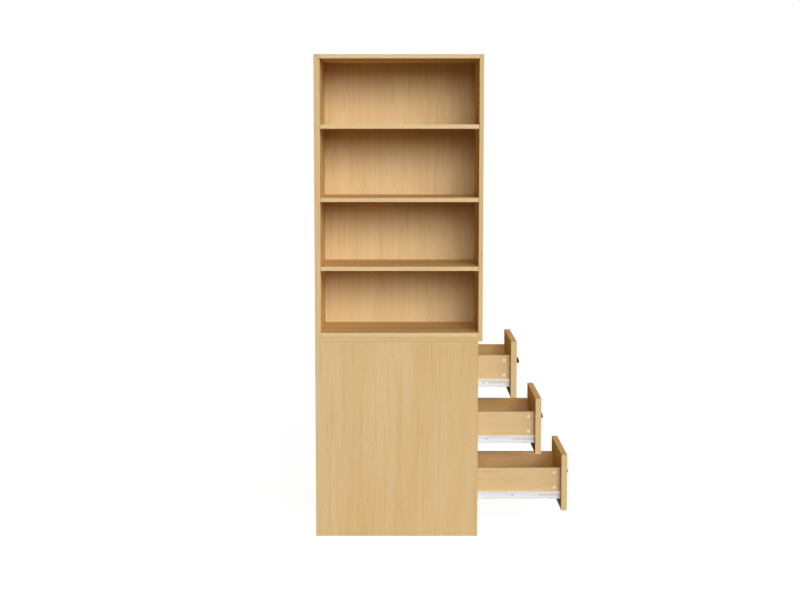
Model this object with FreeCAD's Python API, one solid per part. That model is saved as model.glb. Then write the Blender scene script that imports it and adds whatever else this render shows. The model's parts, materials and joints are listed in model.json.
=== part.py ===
# Open bookcase standing on a chest whose three drawers slide out at its right-hand side.
#
# Axes: the drawers open along +X, the bookcase is open towards -Y, and +Z is up.
# Origin: on the floor at the wall line, midway across the chest. All sizes are millimetres.
# The drawers are modelled part open, each one further than the one above it.
# Left and right of a drawer are as seen by someone who faces its front.
import FreeCAD, Part
import os

# ---------------------------------------------------------------- driving dimensions
# Carcass
CHEST_WIDTH = 610.0  # X, without the drawer fronts
DEPTH = 350.0  # Y, the same for chest and bookcase
CHEST_HEIGHT = 760.0  # floor to the top of the chest top
BOOKCASE_HEIGHT = 1046.0  # chest top to the very top
BOARD = 16.0  # every board that has no thickness of its own
LEFT_SIDE_BOARD = 22.0  # the bookcase's thicker left side
TOP_OVERHANG = 16.0  # chest top and bookcase past the chest's open side
PLINTH_HEIGHT = 98.0  # floor to the underside of the chest bottom
PLINTH_SETBACK = 20.0  # plinth behind the chest's open side

# Bookcase interior
BOTTOM_OPENING = 232.0  # clear heights, from the bottom compartment up
LOWER_OPENING = 240.0
MIDDLE_OPENING = 254.0
BACK_BOARD = 6.0
BACK_INSET = 18.0  # air between the back and the wall
BACK_GROOVE = 6.0  # how far the back sits in the boards round it
SHELF_END_GAP = 1.0
SHELF_BACK_GAP = 1.0
GROOVE_SLIP = 0.2  # play of a thin board in its groove, on each face

# Shelf supports: a pin with a bent plate
SUPPORT_INSET = 50.0  # from the front and rear edges of a shelf
SUPPORT_PIN_RADIUS = 2.5
SUPPORT_PIN_DEPTH = 8.0
SUPPORT_PLATE = 1.5
SUPPORT_LEG = 8.0
SUPPORT_WIDTH = 10.0

# Cam fittings, dowels and drilling
DRILL_CLEARANCE = 0.1  # radial, round whatever sits in a drilled hole
HOLE_SPARE = 1.0  # empty depth past the end of a pin or screw
TIP_COVER = 5.0  # wood left beyond a bolt, dowel or screw
CAM_RADIUS = 7.5
CAM_FLOOR = 3.2  # wood left under a cam
CAM_BELOW_FACE = 0.3
CAM_MOUTH_PLAY = 0.4
CAM_CROSS_DEPTH = 1.5
BOLT_REACH = 24.0  # joint plane to the middle of the cam
BOLT_THREAD_RADIUS = 2.5
BOLT_STEM_RADIUS = 2.0
BOLT_HEAD_RADIUS = 3.0
BOLT_HEAD_LENGTH = 4.0
EDGE_BORE_RADIUS = 4.0
DOWEL_RADIUS = 4.0
DOWEL_REACH = 20.0  # dowel length in the butting board
DOWEL_OFFSET = 32.0  # cam to its dowel, towards the middle of the board
JOINT_INSET = 50.0  # board end to its first cam
PLINTH_CAM_LIFT = 33.0  # floor to the cam at each end of the plinth

# Screws
SCREW_RADIUS = 2.0
SCREW_HEAD_RADIUS = 3.8
SCREW_HEAD_HEIGHT = 2.0
SCREW_CROSS_DEPTH = 1.0
CROSS_WIDTH = 1.2
JOINING_SCREW_INSET = 80.0  # bookcase side to a screw that joins the two units
JOINING_SCREW_SETBACK = 90.0  # front edge, or bookcase back, to that screw

# Drawers
TOP_DRAWER_OPEN = 122.5  # chest edge to the inner face of the drawer front
MIDDLE_DRAWER_OPEN = 216.5
BOTTOM_DRAWER_OPEN = 316.5
CLOSED_GAP = 1.0  # the same distance with the drawer shut
FRONT_BOARD = 22.0
FRONT_TOP_GAP = 1.0  # chest top to the top drawer front
FRONT_GAP = 2.5  # between drawer fronts
FRONT_BOTTOM_LIFT = 1.0  # lowest front above the underside of the chest bottom
DRAWER_BOARD = 12.0
DRAWER_REAR_GAP = 45.0  # drawer box to the end panel, with the drawer shut
DRAWER_SIDE_DROP = 56.0  # top of the front to the top of the sides
DRAWER_SIDE_LIFT = 39.0  # lower edge of the front to the lower edge of the sides
DRAWER_BOTTOM = 3.0
DRAWER_BOTTOM_LIFT = 10.0  # lower edge of the sides to the drawer bottom
SIDE_GROOVE = 4.0
FRONT_GROOVE = 5.0
DRAWER_CAM_RADIUS = 6.0
DRAWER_CAM_FLOOR = 2.2
DRAWER_CAM_DROP = 18.5  # top of a side to its upper cam
DRAWER_CAM_LIFT = 43.5  # lower edge of a side to its lower cam
CAP_RIM = 0.5  # cap past its cam, all round
CAP_HEIGHT = 0.8
BACK_SCREW_INSET = 18.0  # upper edge of a drawer back to its upper screw
BACK_SCREW_LENGTH = 35.0
BOTTOM_SCREW_LENGTH = 16.0
BOTTOM_SCREW_INSET = 60.0  # drawer side to a screw in the drawer bottom

# Roller runners
RUNNER_GAP = 12.5  # chest board to drawer side
STEEL = 1.2
RUNNER_HEIGHT = 30.0  # drawer member
RUNNER_FRONT_GAP = 1.0  # drawer front to the end of its runner
FOOT_SETBACK = 1.0  # inner face of the drawer side to the edge of the foot under it
HOOK_TO_WEB = 1.0  # drawer member's lip to the cabinet member's web
HOOK_DROP = 5.0
HOOK_TO_CHANNEL = 0.5
CHANNEL_TO_WEB = 0.8
CABINET_RUNNER_SETBACK = 2.0  # behind the chest's open side
CABINET_RUNNER_REAR_GAP = 42.0  # to the end panel
ROLLER_RADIUS = 9.0
ROLLER_SIDE_PLAY = 0.55  # roller to the steel beside it, on each side
ROLLER_PLAY = 0.3  # roller to the steel that it runs on
ROLLER_INSET = 12.0  # runner's end to the roller's axle
ROLLER_SHOULDER = 5.0  # cut-back of the channel's upper flange past the front roller
AXLE_RADIUS = 2.5
AXLE_CLEARANCE = 0.05
AXLE_HEAD_RADIUS = 4.0
AXLE_HEAD_HEIGHT = 1.0
AXLE_RECESS_PLAY = 0.4
KEPT_INSIDE = 120.0  # drawer box still in the chest at full travel
STOP_HEIGHT = 6.0
SLOT_CENTRE_DROP = 15.0  # runner's top edge to its row of holes
SLOT_START = 3.0  # drawer front to the near end of the slot
SLOT_END = 85.0
SLOT_HEIGHT = 3.5
OVAL_HOLE_AT = 100.5
OVAL_HOLE_LENGTH = 9.0
OVAL_HOLE_HEIGHT = 4.5
ROUND_HOLE_AT = 183.0
ROUND_HOLE_RADIUS = 2.6
RUNNER_SCREW_INSET = 37.0
RUNNER_SCREW_SPACING = 224.0
FOOT_SCREW_LENGTH = 14.0
CUT_PAST = 1.0  # how far a hole's cutter runs past each face of the steel

# Drawer pull: a quarter of an ellipsoid, hollow and open below
PULL_PROJECTION = 24.0
PULL_WIDTH = 30.0
PULL_HEIGHT = 30.0
PULL_WALL = 2.2
PULL_POST_RADIUS = 4.0
PULL_POST_HEIGHT = 17.0  # above the pull's lower edge
PULL_SCREW_RADIUS = 2.0
PULL_SCREW_DEPTH = 11.0  # thread inside the post

# ---------------------------------------------------------------- derived positions
X_LEFT = -CHEST_WIDTH / 2
X_RIGHT = CHEST_WIDTH / 2
X_TOP_RIGHT = X_RIGHT + TOP_OVERHANG
Y_FRONT = -DEPTH
Y_WALL = 0.0
TOTAL_HEIGHT = CHEST_HEIGHT + BOOKCASE_HEIGHT
CHEST_TOP_UNDER = CHEST_HEIGHT - BOARD
CASE_X0 = X_LEFT + LEFT_SIDE_BOARD
CASE_X1 = X_TOP_RIGHT - BOARD
CASE_Z0 = CHEST_HEIGHT + BOARD
CASE_Z1 = TOTAL_HEIGHT - BOARD
BACK_REAR = Y_WALL - BACK_INSET
BACK_FRONT = BACK_REAR - BACK_BOARD
PANEL_INNER_FRONT = Y_FRONT + BOARD
PANEL_INNER_REAR = Y_WALL - BOARD
FRONT_BOTTOM = PLINTH_HEIGHT + FRONT_BOTTOM_LIFT
FRONT_HEIGHT = (CHEST_TOP_UNDER - FRONT_TOP_GAP - FRONT_BOTTOM - 2 * FRONT_GAP) / 3
DRAWER_SIDE_HEIGHT = FRONT_HEIGHT - DRAWER_SIDE_DROP - DRAWER_SIDE_LIFT
HOOK_TOP = RUNNER_HEIGHT - STEEL  # heights of the runner parts, from the drawer side's lower edge
HOOK_UNDER = HOOK_TOP - STEEL
CHANNEL_TOP = HOOK_TOP - HOOK_DROP - HOOK_TO_CHANNEL
CHANNEL_FLOOR = CHANNEL_TOP - STEEL - 2 * (ROLLER_RADIUS + ROLLER_PLAY)
CHANNEL_BOTTOM = CHANNEL_FLOOR - STEEL
REAR_ROLLER_HEIGHT = CHANNEL_FLOOR + ROLLER_PLAY + ROLLER_RADIUS
FRONT_ROLLER_HEIGHT = HOOK_UNDER - ROLLER_PLAY - ROLLER_RADIUS
CHANNEL_WEB = RUNNER_GAP - STEEL  # distances out from the drawer side
CHANNEL_MOUTH = STEEL + CHANNEL_TO_WEB
HOOK_REACH = CHANNEL_WEB - HOOK_TO_WEB
ROLLER_NEAR = STEEL + ROLLER_SIDE_PLAY
ROLLER_FAR = HOOK_REACH - STEEL - ROLLER_SIDE_PLAY
ROLLER_WIDTH = ROLLER_FAR - ROLLER_NEAR
CABINET_RUNNER_X0 = X_LEFT + BOARD + CABINET_RUNNER_REAR_GAP
CABINET_RUNNER_X1 = X_RIGHT - CABINET_RUNNER_SETBACK
FRONT_ROLLER_X = CABINET_RUNNER_X1 - ROLLER_INSET
CLOSED_REAR_X = X_LEFT + BOARD + DRAWER_REAR_GAP
DRAWER_LENGTH = X_RIGHT + CLOSED_GAP - CLOSED_REAR_X
FULL_TRAVEL = DRAWER_LENGTH - KEPT_INSIDE

V = FreeCAD.Vector
X = V(1, 0, 0)
Y = V(0, 1, 0)
Z = V(0, 0, 1)


# ---------------------------------------------------------------- shapes
def box(x0, x1, y0, y1, z0, z1):
    """Block between two corners."""
    return Part.makeBox(x1 - x0, y1 - y0, z1 - z0, V(x0, y0, z0))


def block(centre, half):
    """Block round a centre, from the half size along each axis."""
    reach = V(abs(half.x), abs(half.y), abs(half.z))
    low = centre - reach
    high = centre + reach
    return box(low.x, high.x, low.y, high.y, low.z, high.z)


def rod(start, direction, radius, length):
    """Cylinder from a start point along a direction."""
    return Part.makeCylinder(radius, length, start, direction)


def joined(shapes):
    """One solid from shapes that touch."""
    return shapes[0].fuse(shapes[1:]).removeSplitter()


def cross(face_centre, inward, reach, depth):
    """The two bars of a cross recess in a face."""
    sideways = [axis for axis in (X, Y, Z) if abs(axis.dot(inward)) < 0.5]
    middle = face_centre + inward * (depth / 2)
    bars = []
    for long_axis, short_axis in (sideways, reversed(sideways)):
        half = long_axis * reach + short_axis * (CROSS_WIDTH / 2) + inward * (depth / 2)
        bars.append(block(middle, half))
    return bars


def save(name, solids):
    """Write one node, as a single solid or a group of separate ones."""
    shape = solids[0] if len(solids) == 1 else Part.makeCompound(solids)
    shape.exportStep(os.path.join("parts", name + ".step"))


class Board:
    """A flat board that gathers its holes and grooves before they are cut."""

    def __init__(self, name, x, y, z):
        self.name = name
        self.body = box(x[0], x[1], y[0], y[1], z[0], z[1])
        self.thickness = min(x[1] - x[0], y[1] - y[0], z[1] - z[0])
        self.tools = []

    def cut(self, *tools):
        self.tools.extend(tools)

    def save(self):
        shape = self.body.cut(self.tools) if self.tools else self.body
        save(self.name, shape.Solids)


# ---------------------------------------------------------------- fittings
def cam_joint(butting, facing, at, along, out, cam_size, cams, bolts):
    """Cam and bolt that pull a board's edge onto the face of another board.

    at is where the bolt crosses the joint, along points into the butting board,
    out points to the side that the cam is turned from, and cam_size is the cam's
    radius and the wood left under it.
    """
    radius, floor = cam_size
    face = at + along * BOLT_REACH + out * (butting.thickness / 2)
    cam_height = butting.thickness - floor - CAM_BELOW_FACE
    thread = facing.thickness - TIP_COVER
    butting.cut(rod(face, -out, radius + DRILL_CLEARANCE, cam_height + CAM_BELOW_FACE))
    butting.cut(rod(at, along, EDGE_BORE_RADIUS, BOLT_REACH))
    facing.cut(rod(at, -along, BOLT_THREAD_RADIUS + DRILL_CLEARANCE, thread + HOLE_SPARE))

    turned_face = face - out * CAM_BELOW_FACE
    head_end = BOLT_REACH + BOLT_HEAD_LENGTH / 2
    mouth = rod(at, along, BOLT_HEAD_RADIUS + CAM_MOUTH_PLAY, head_end + CAM_MOUTH_PLAY)
    slots = cross(turned_face, -out, radius / 2, CAM_CROSS_DEPTH)
    cams.append(rod(turned_face, -out, radius, cam_height).cut([mouth] + slots))
    stem_length = head_end - BOLT_HEAD_LENGTH
    bolts.append(
        joined(
            [
                rod(at - along * thread, along, BOLT_THREAD_RADIUS, thread),
                rod(at, along, BOLT_STEM_RADIUS, stem_length),
                rod(at + along * stem_length, along, BOLT_HEAD_RADIUS, BOLT_HEAD_LENGTH),
            ]
        )
    )


def dowel_joint(butting, facing, at, along, dowels):
    """Dowel across the same kind of joint."""
    depth = facing.thickness - TIP_COVER
    radius = DOWEL_RADIUS + DRILL_CLEARANCE
    butting.cut(rod(at, along, radius, DOWEL_REACH + HOLE_SPARE))
    facing.cut(rod(at, -along, radius, depth + HOLE_SPARE))
    dowels.append(rod(at - along * depth, along, DOWEL_RADIUS, depth + DOWEL_REACH))


def screw(seat, into, length, radius=SCREW_RADIUS):
    """Pan-head screw whose head rests on the seat."""
    head_face = seat - into * SCREW_HEAD_HEIGHT
    solid = joined(
        [
            rod(seat, into, radius, length),
            rod(head_face, into, SCREW_HEAD_RADIUS, SCREW_HEAD_HEIGHT),
        ]
    )
    return solid.cut(cross(head_face, into, SCREW_HEAD_RADIUS / 2, SCREW_CROSS_DEPTH))


def screw_hole(seat, into, length, radius=SCREW_RADIUS):
    """Hole for that screw, with spare depth past its tip."""
    return rod(seat, into, radius + DRILL_CLEARANCE, length + HOLE_SPARE)


# ---------------------------------------------------------------- chest
def chest_boards():
    """The six boards of the chest."""
    full_y = (Y_FRONT, Y_WALL)
    inner_y = (PANEL_INNER_FRONT, PANEL_INNER_REAR)
    face_x = (X_LEFT, X_RIGHT)
    bottom_x = (X_LEFT + BOARD, X_RIGHT)
    plinth_x = (X_RIGHT - PLINTH_SETBACK - BOARD, X_RIGHT - PLINTH_SETBACK)
    upright = (0.0, CHEST_TOP_UNDER)
    bottom_z = (PLINTH_HEIGHT, PLINTH_HEIGHT + BOARD)
    return {
        "top": Board("chest_top", (X_LEFT, X_TOP_RIGHT), full_y, (CHEST_TOP_UNDER, CHEST_HEIGHT)),
        "face": Board("chest_face_panel", face_x, (Y_FRONT, PANEL_INNER_FRONT), upright),
        "rear": Board("chest_rear_panel", face_x, (PANEL_INNER_REAR, Y_WALL), upright),
        "end": Board("chest_end_panel", (X_LEFT, X_LEFT + BOARD), inner_y, upright),
        "bottom": Board("chest_bottom", bottom_x, inner_y, bottom_z),
        "plinth": Board("chest_plinth", plinth_x, inner_y, (0.0, PLINTH_HEIGHT)),
    }


def join_chest(boards, cams, bolts, dowels):
    """Cams and dowels between the chest's boards."""
    cam = (CAM_RADIUS, CAM_FLOOR)
    for panel, out, y in (("face", Y, Y_FRONT + BOARD / 2), ("rear", -Y, Y_WALL - BOARD / 2)):
        for x, inboard in ((X_LEFT + JOINT_INSET, X), (X_RIGHT - JOINT_INSET, -X)):
            at = V(x, y, CHEST_TOP_UNDER)
            cam_joint(boards[panel], boards["top"], at, -Z, out, cam, cams, bolts)
            dowel_joint(boards[panel], boards["top"], at + inboard * DOWEL_OFFSET, -Z, dowels)

    mid_bottom = PLINTH_HEIGHT + BOARD / 2
    end_x = X_LEFT + BOARD / 2
    plinth_x = X_RIGHT - PLINTH_SETBACK - BOARD / 2
    end_z = (PLINTH_HEIGHT + BOARD + JOINT_INSET, CHEST_TOP_UNDER - JOINT_INSET)
    for panel, along, y in (("face", Y, PANEL_INNER_FRONT), ("rear", -Y, PANEL_INNER_REAR)):
        spots = [
            ("end", V(end_x, y, end_z[0]), X, Z),
            ("end", V(end_x, y, end_z[1]), X, -Z),
            ("bottom", V(X_LEFT + BOARD + JOINT_INSET, y, mid_bottom), -Z, X),
            ("bottom", V(X_RIGHT - JOINT_INSET - BOARD, y, mid_bottom), -Z, -X),
            ("plinth", V(plinth_x, y, PLINTH_CAM_LIFT), -X, Z),
        ]
        for name, at, out, inboard in spots:
            cam_joint(boards[name], boards[panel], at, along, out, cam, cams, bolts)
            dowel_joint(boards[name], boards[panel], at + inboard * DOWEL_OFFSET, along, dowels)


# ---------------------------------------------------------------- bookcase
def bookcase_boards():
    """Sides, top, bottom and back of the bookcase."""
    full_y = (Y_FRONT, Y_WALL)
    full_z = (CHEST_HEIGHT, TOTAL_HEIGHT)
    tongue = BACK_GROOVE - GROOVE_SLIP
    boards = {
        "left": Board("bookcase_left_side", (X_LEFT, CASE_X0), full_y, full_z),
        "right": Board("bookcase_right_side", (CASE_X1, X_TOP_RIGHT), full_y, full_z),
        "top": Board("bookcase_top", (CASE_X0, CASE_X1), full_y, (CASE_Z1, TOTAL_HEIGHT)),
        "bottom": Board("bookcase_bottom", (CASE_X0, CASE_X1), full_y, (CHEST_HEIGHT, CASE_Z0)),
        "back": Board(
            "bookcase_back",
            (CASE_X0 - tongue, CASE_X1 + tongue),
            (BACK_FRONT, BACK_REAR),
            (CASE_Z0 - tongue, CASE_Z1 + tongue),
        ),
    }
    groove = box(
        CASE_X0 - BACK_GROOVE,
        CASE_X1 + BACK_GROOVE,
        BACK_FRONT - GROOVE_SLIP,
        BACK_REAR + GROOVE_SLIP,
        CASE_Z0 - BACK_GROOVE,
        CASE_Z1 + BACK_GROOVE,
    )
    for name in ("left", "right", "top", "bottom"):
        boards[name].cut(groove)
    return boards


def join_bookcase(boards, cams, bolts, dowels):
    """Cams and dowels that hold the top and bottom between the sides."""
    cam = (CAM_RADIUS, CAM_FLOOR)
    rows = ((Y_FRONT + JOINT_INSET, Y), (BACK_FRONT - JOINT_INSET, -Y))
    levels = (("top", Z, TOTAL_HEIGHT - BOARD / 2), ("bottom", -Z, CHEST_HEIGHT + BOARD / 2))
    for side, along, x in (("left", X, CASE_X0), ("right", -X, CASE_X1)):
        for name, out, z in levels:
            for y, inboard in rows:
                at = V(x, y, z)
                cam_joint(boards[name], boards[side], at, along, out, cam, cams, bolts)
                dowel_joint(boards[name], boards[side], at + inboard * DOWEL_OFFSET, along, dowels)


def join_units(chest_top, bookcase_bottom):
    """Screws driven up through the chest top into the bookcase."""
    screws = []
    length = chest_top.thickness + bookcase_bottom.thickness - TIP_COVER
    for x in (CASE_X0 + JOINING_SCREW_INSET, CASE_X1 - JOINING_SCREW_INSET):
        for y in (Y_FRONT + JOINING_SCREW_SETBACK, BACK_FRONT - JOINING_SCREW_SETBACK):
            seat = V(x, y, CHEST_TOP_UNDER)
            chest_top.cut(screw_hole(seat, Z, length))
            bookcase_bottom.cut(screw_hole(seat, Z, length))
            screws.append(screw(seat, Z, length))
    return screws


def shelves(sides):
    """Three loose shelves and the bent-plate supports under their corners."""
    supports = []
    rear_edge = BACK_FRONT - SHELF_BACK_GAP
    under = CASE_Z0
    for number, opening in ((3, BOTTOM_OPENING), (2, LOWER_OPENING), (1, MIDDLE_OPENING)):
        under += opening
        shelf = Board(
            f"shelf_{number}",
            (CASE_X0 + SHELF_END_GAP, CASE_X1 - SHELF_END_GAP),
            (Y_FRONT, rear_edge),
            (under, under + BOARD),
        )
        shelf.save()
        for side, x, inward in (("left", CASE_X0, X), ("right", CASE_X1, -X)):
            for y in (Y_FRONT + SUPPORT_INSET, rear_edge - SUPPORT_INSET):
                corner = V(x, y, under)
                supports.append(shelf_support(corner, inward))
                sides[side].cut(
                    rod(
                        corner - Z * (SUPPORT_LEG / 2 + SUPPORT_PLATE / 2),
                        -inward,
                        SUPPORT_PIN_RADIUS + DRILL_CLEARANCE,
                        SUPPORT_PIN_DEPTH + HOLE_SPARE,
                    )
                )
        under += BOARD
    save("shelf_supports", supports)


def shelf_support(corner, inward):
    """Plate under the shelf, leg against the side and a pin in the side's hole."""
    half_width = Y * (SUPPORT_WIDTH / 2)
    half_leg = SUPPORT_LEG / 2
    half_plate = SUPPORT_PLATE / 2
    ledge_middle = corner + inward * half_leg - Z * half_plate
    leg_middle = corner + inward * half_plate - Z * half_leg
    pin_start = corner - Z * (half_leg + half_plate)
    return joined(
        [
            block(ledge_middle, inward * half_leg + half_width + Z * half_plate),
            block(leg_middle, inward * half_plate + half_width + Z * half_leg),
            rod(pin_start, -inward, SUPPORT_PIN_RADIUS, SUPPORT_PIN_DEPTH),
        ]
    )


# ---------------------------------------------------------------- runners
class Flank:
    """One flank of a drawer: its outer plane and the way out from it towards the chest board."""

    def __init__(self, name, face_y, out):
        self.name = name
        self.face_y = face_y
        self.out = out

    def point(self, x, distance, z):
        return V(x, self.face_y, z) + self.out * distance

    def strip(self, x0, x1, near, far, z0, z1):
        """Block between two distances out from the drawer side."""
        low = self.point(x0, near, z0)
        high = self.point(x1, far, z1)
        return block((low + high) * 0.5, (high - low) * 0.5)


FLANKS = (
    Flank("left", PANEL_INNER_FRONT + RUNNER_GAP, -Y),
    Flank("right", PANEL_INNER_REAR - RUNNER_GAP, Y),
)


def roller(flank, x, z, head_distance, head_way):
    """Nylon roller with a bore for its axle and a recess for the axle's head."""
    start = flank.point(x, ROLLER_NEAR, z)
    recess_depth = AXLE_HEAD_HEIGHT + AXLE_RECESS_PLAY
    recess = rod(
        flank.point(x, head_distance, z),
        flank.out * -head_way,
        AXLE_HEAD_RADIUS + AXLE_RECESS_PLAY,
        recess_depth,
    )
    bore = rod(start, flank.out, AXLE_RADIUS + AXLE_CLEARANCE, ROLLER_WIDTH)
    return rod(start, flank.out, ROLLER_RADIUS, ROLLER_WIDTH).cut([bore, recess])


def axle(flank, x, z, root_distance, head_distance, head_way):
    """Rivet that carries a roller, from the runner's steel to its own head."""
    root = flank.point(x, root_distance, z)
    head_outer = flank.point(x, head_distance, z)
    way = flank.out * head_way
    head = rod(head_outer - way * AXLE_HEAD_HEIGHT, way, AXLE_HEAD_RADIUS, AXLE_HEAD_HEIGHT)
    return [rod(root, way, AXLE_RADIUS, abs(head_distance - root_distance)), head]


def slot(flank, x0, x1, z, height):
    """Round-ended slot through a runner's web."""
    radius = height / 2
    centres = (x0 + radius, x1 - radius)
    middle = flank.strip(*centres, -CUT_PAST, STEEL + CUT_PAST, z - radius, z + radius)
    return joined([middle] + [web_hole(flank, x, z, radius) for x in centres])


def web_hole(flank, x, z, radius):
    """Cutter for a round hole through a drawer runner's web."""
    return rod(flank.point(x, -CUT_PAST, z), flank.out, radius, STEEL + 2 * CUT_PAST)


def drawer_runner(flank, front_x, side_z):
    """Drawer member: foot under the side, web with its holes, hooked top and rear axle."""
    x0 = front_x - DRAWER_LENGTH
    x1 = front_x - RUNNER_FRONT_GAP
    top = side_z + HOOK_TOP
    roller_x = x0 + ROLLER_INSET
    profile = [
        flank.strip(x0, x1, 0.0, STEEL, side_z - STEEL, top),
        flank.strip(x0, x1, FOOT_SETBACK - DRAWER_BOARD, STEEL, side_z - STEEL, side_z),
        flank.strip(x0, x1, 0.0, HOOK_REACH, top - STEEL, top),
        flank.strip(x0, x1, HOOK_REACH - STEEL, HOOK_REACH, top - HOOK_DROP, top),
    ]
    profile += axle(flank, roller_x, side_z + REAR_ROLLER_HEIGHT, STEEL, ROLLER_FAR, 1)
    hole_z = top - SLOT_CENTRE_DROP
    holes = [
        slot(flank, front_x - SLOT_END, front_x - SLOT_START, hole_z, SLOT_HEIGHT),
        slot(
            flank,
            front_x - OVAL_HOLE_AT - OVAL_HOLE_LENGTH / 2,
            front_x - OVAL_HOLE_AT + OVAL_HOLE_LENGTH / 2,
            hole_z,
            OVAL_HOLE_HEIGHT,
        ),
        web_hole(flank, front_x - ROUND_HOLE_AT, hole_z, ROUND_HOLE_RADIUS),
    ]
    for seat in foot_screw_seats(flank, front_x, side_z):
        holes.append(screw_hole(seat, Z, FOOT_SCREW_LENGTH))
    return joined(profile).cut(holes)


def foot_screw_seats(flank, front_x, side_z):
    """Where screws go up through the foot into the drawer side."""
    first = front_x - RUNNER_SCREW_INSET
    last = front_x - DRAWER_LENGTH + RUNNER_SCREW_INSET
    spots = (first, (first + last) / 2, last)
    return [flank.point(x, -DRAWER_BOARD / 2, side_z - STEEL) for x in spots]


def cabinet_screw_seats(flank, side_z):
    """Where screws go through the channel's web into the chest board."""
    middle_z = side_z + (CHANNEL_TOP + CHANNEL_BOTTOM) / 2
    first = CABINET_RUNNER_X1 - RUNNER_SCREW_INSET
    spots = (first, first - RUNNER_SCREW_SPACING, CABINET_RUNNER_X0 + RUNNER_SCREW_INSET)
    return [flank.point(x, CHANNEL_WEB, middle_z) for x in spots]


def cabinet_runner(flank, side_z, screw_length):
    """Cabinet member: channel with a stop, and the axle of the front roller."""
    x0 = CABINET_RUNNER_X0
    x1 = CABINET_RUNNER_X1
    bottom = side_z + CHANNEL_BOTTOM
    top = side_z + CHANNEL_TOP
    floor = side_z + CHANNEL_FLOOR
    flange_end = FRONT_ROLLER_X - ROLLER_RADIUS - ROLLER_SHOULDER
    last_roller_x = CLOSED_REAR_X + ROLLER_INSET + FULL_TRAVEL
    stop_x = last_roller_x + ROLLER_RADIUS + ROLLER_PLAY
    profile = [
        flank.strip(x0, x1, CHANNEL_WEB, RUNNER_GAP, bottom, top),
        flank.strip(x0, x1, CHANNEL_MOUTH, RUNNER_GAP, bottom, floor),
        flank.strip(x0, flange_end, CHANNEL_MOUTH, RUNNER_GAP, top - STEEL, top),
        flank.strip(stop_x, stop_x + STEEL, CHANNEL_MOUTH, RUNNER_GAP, bottom, floor + STOP_HEIGHT),
    ]
    profile += axle(flank, FRONT_ROLLER_X, side_z + FRONT_ROLLER_HEIGHT, CHANNEL_WEB, ROLLER_NEAR, -1)
    holes = [screw_hole(seat, flank.out, screw_length) for seat in cabinet_screw_seats(flank, side_z)]
    return joined(profile).cut(holes)


# ---------------------------------------------------------------- drawers
def pull(mount_x, middle_y, bottom_z):
    """Quarter ellipsoid shell against the front, open below, with a post for its screw."""
    corner = V(mount_x, middle_y, bottom_z)

    def ellipsoid(inset):
        scale = FreeCAD.Matrix()
        scale.scale(PULL_PROJECTION - inset, PULL_WIDTH / 2 - inset, PULL_HEIGHT - inset)
        return Part.makeSphere(1.0).transformGeometry(scale)

    outer = ellipsoid(0.0)
    half_width = PULL_WIDTH / 2
    quarter = box(0.0, PULL_PROJECTION, -half_width, half_width, 0.0, PULL_HEIGHT)
    post = rod(V(0, 0, PULL_POST_HEIGHT), X, PULL_POST_RADIUS, PULL_PROJECTION).common(outer)
    screw_bore = screw_hole(V(0, 0, PULL_POST_HEIGHT), X, PULL_SCREW_DEPTH, PULL_SCREW_RADIUS)
    shell = outer.cut(ellipsoid(PULL_WALL)).common(quarter)
    shape = shell.fuse(post).cut(screw_bore)
    shape.translate(corner)
    return shape.Solids[0]


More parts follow.
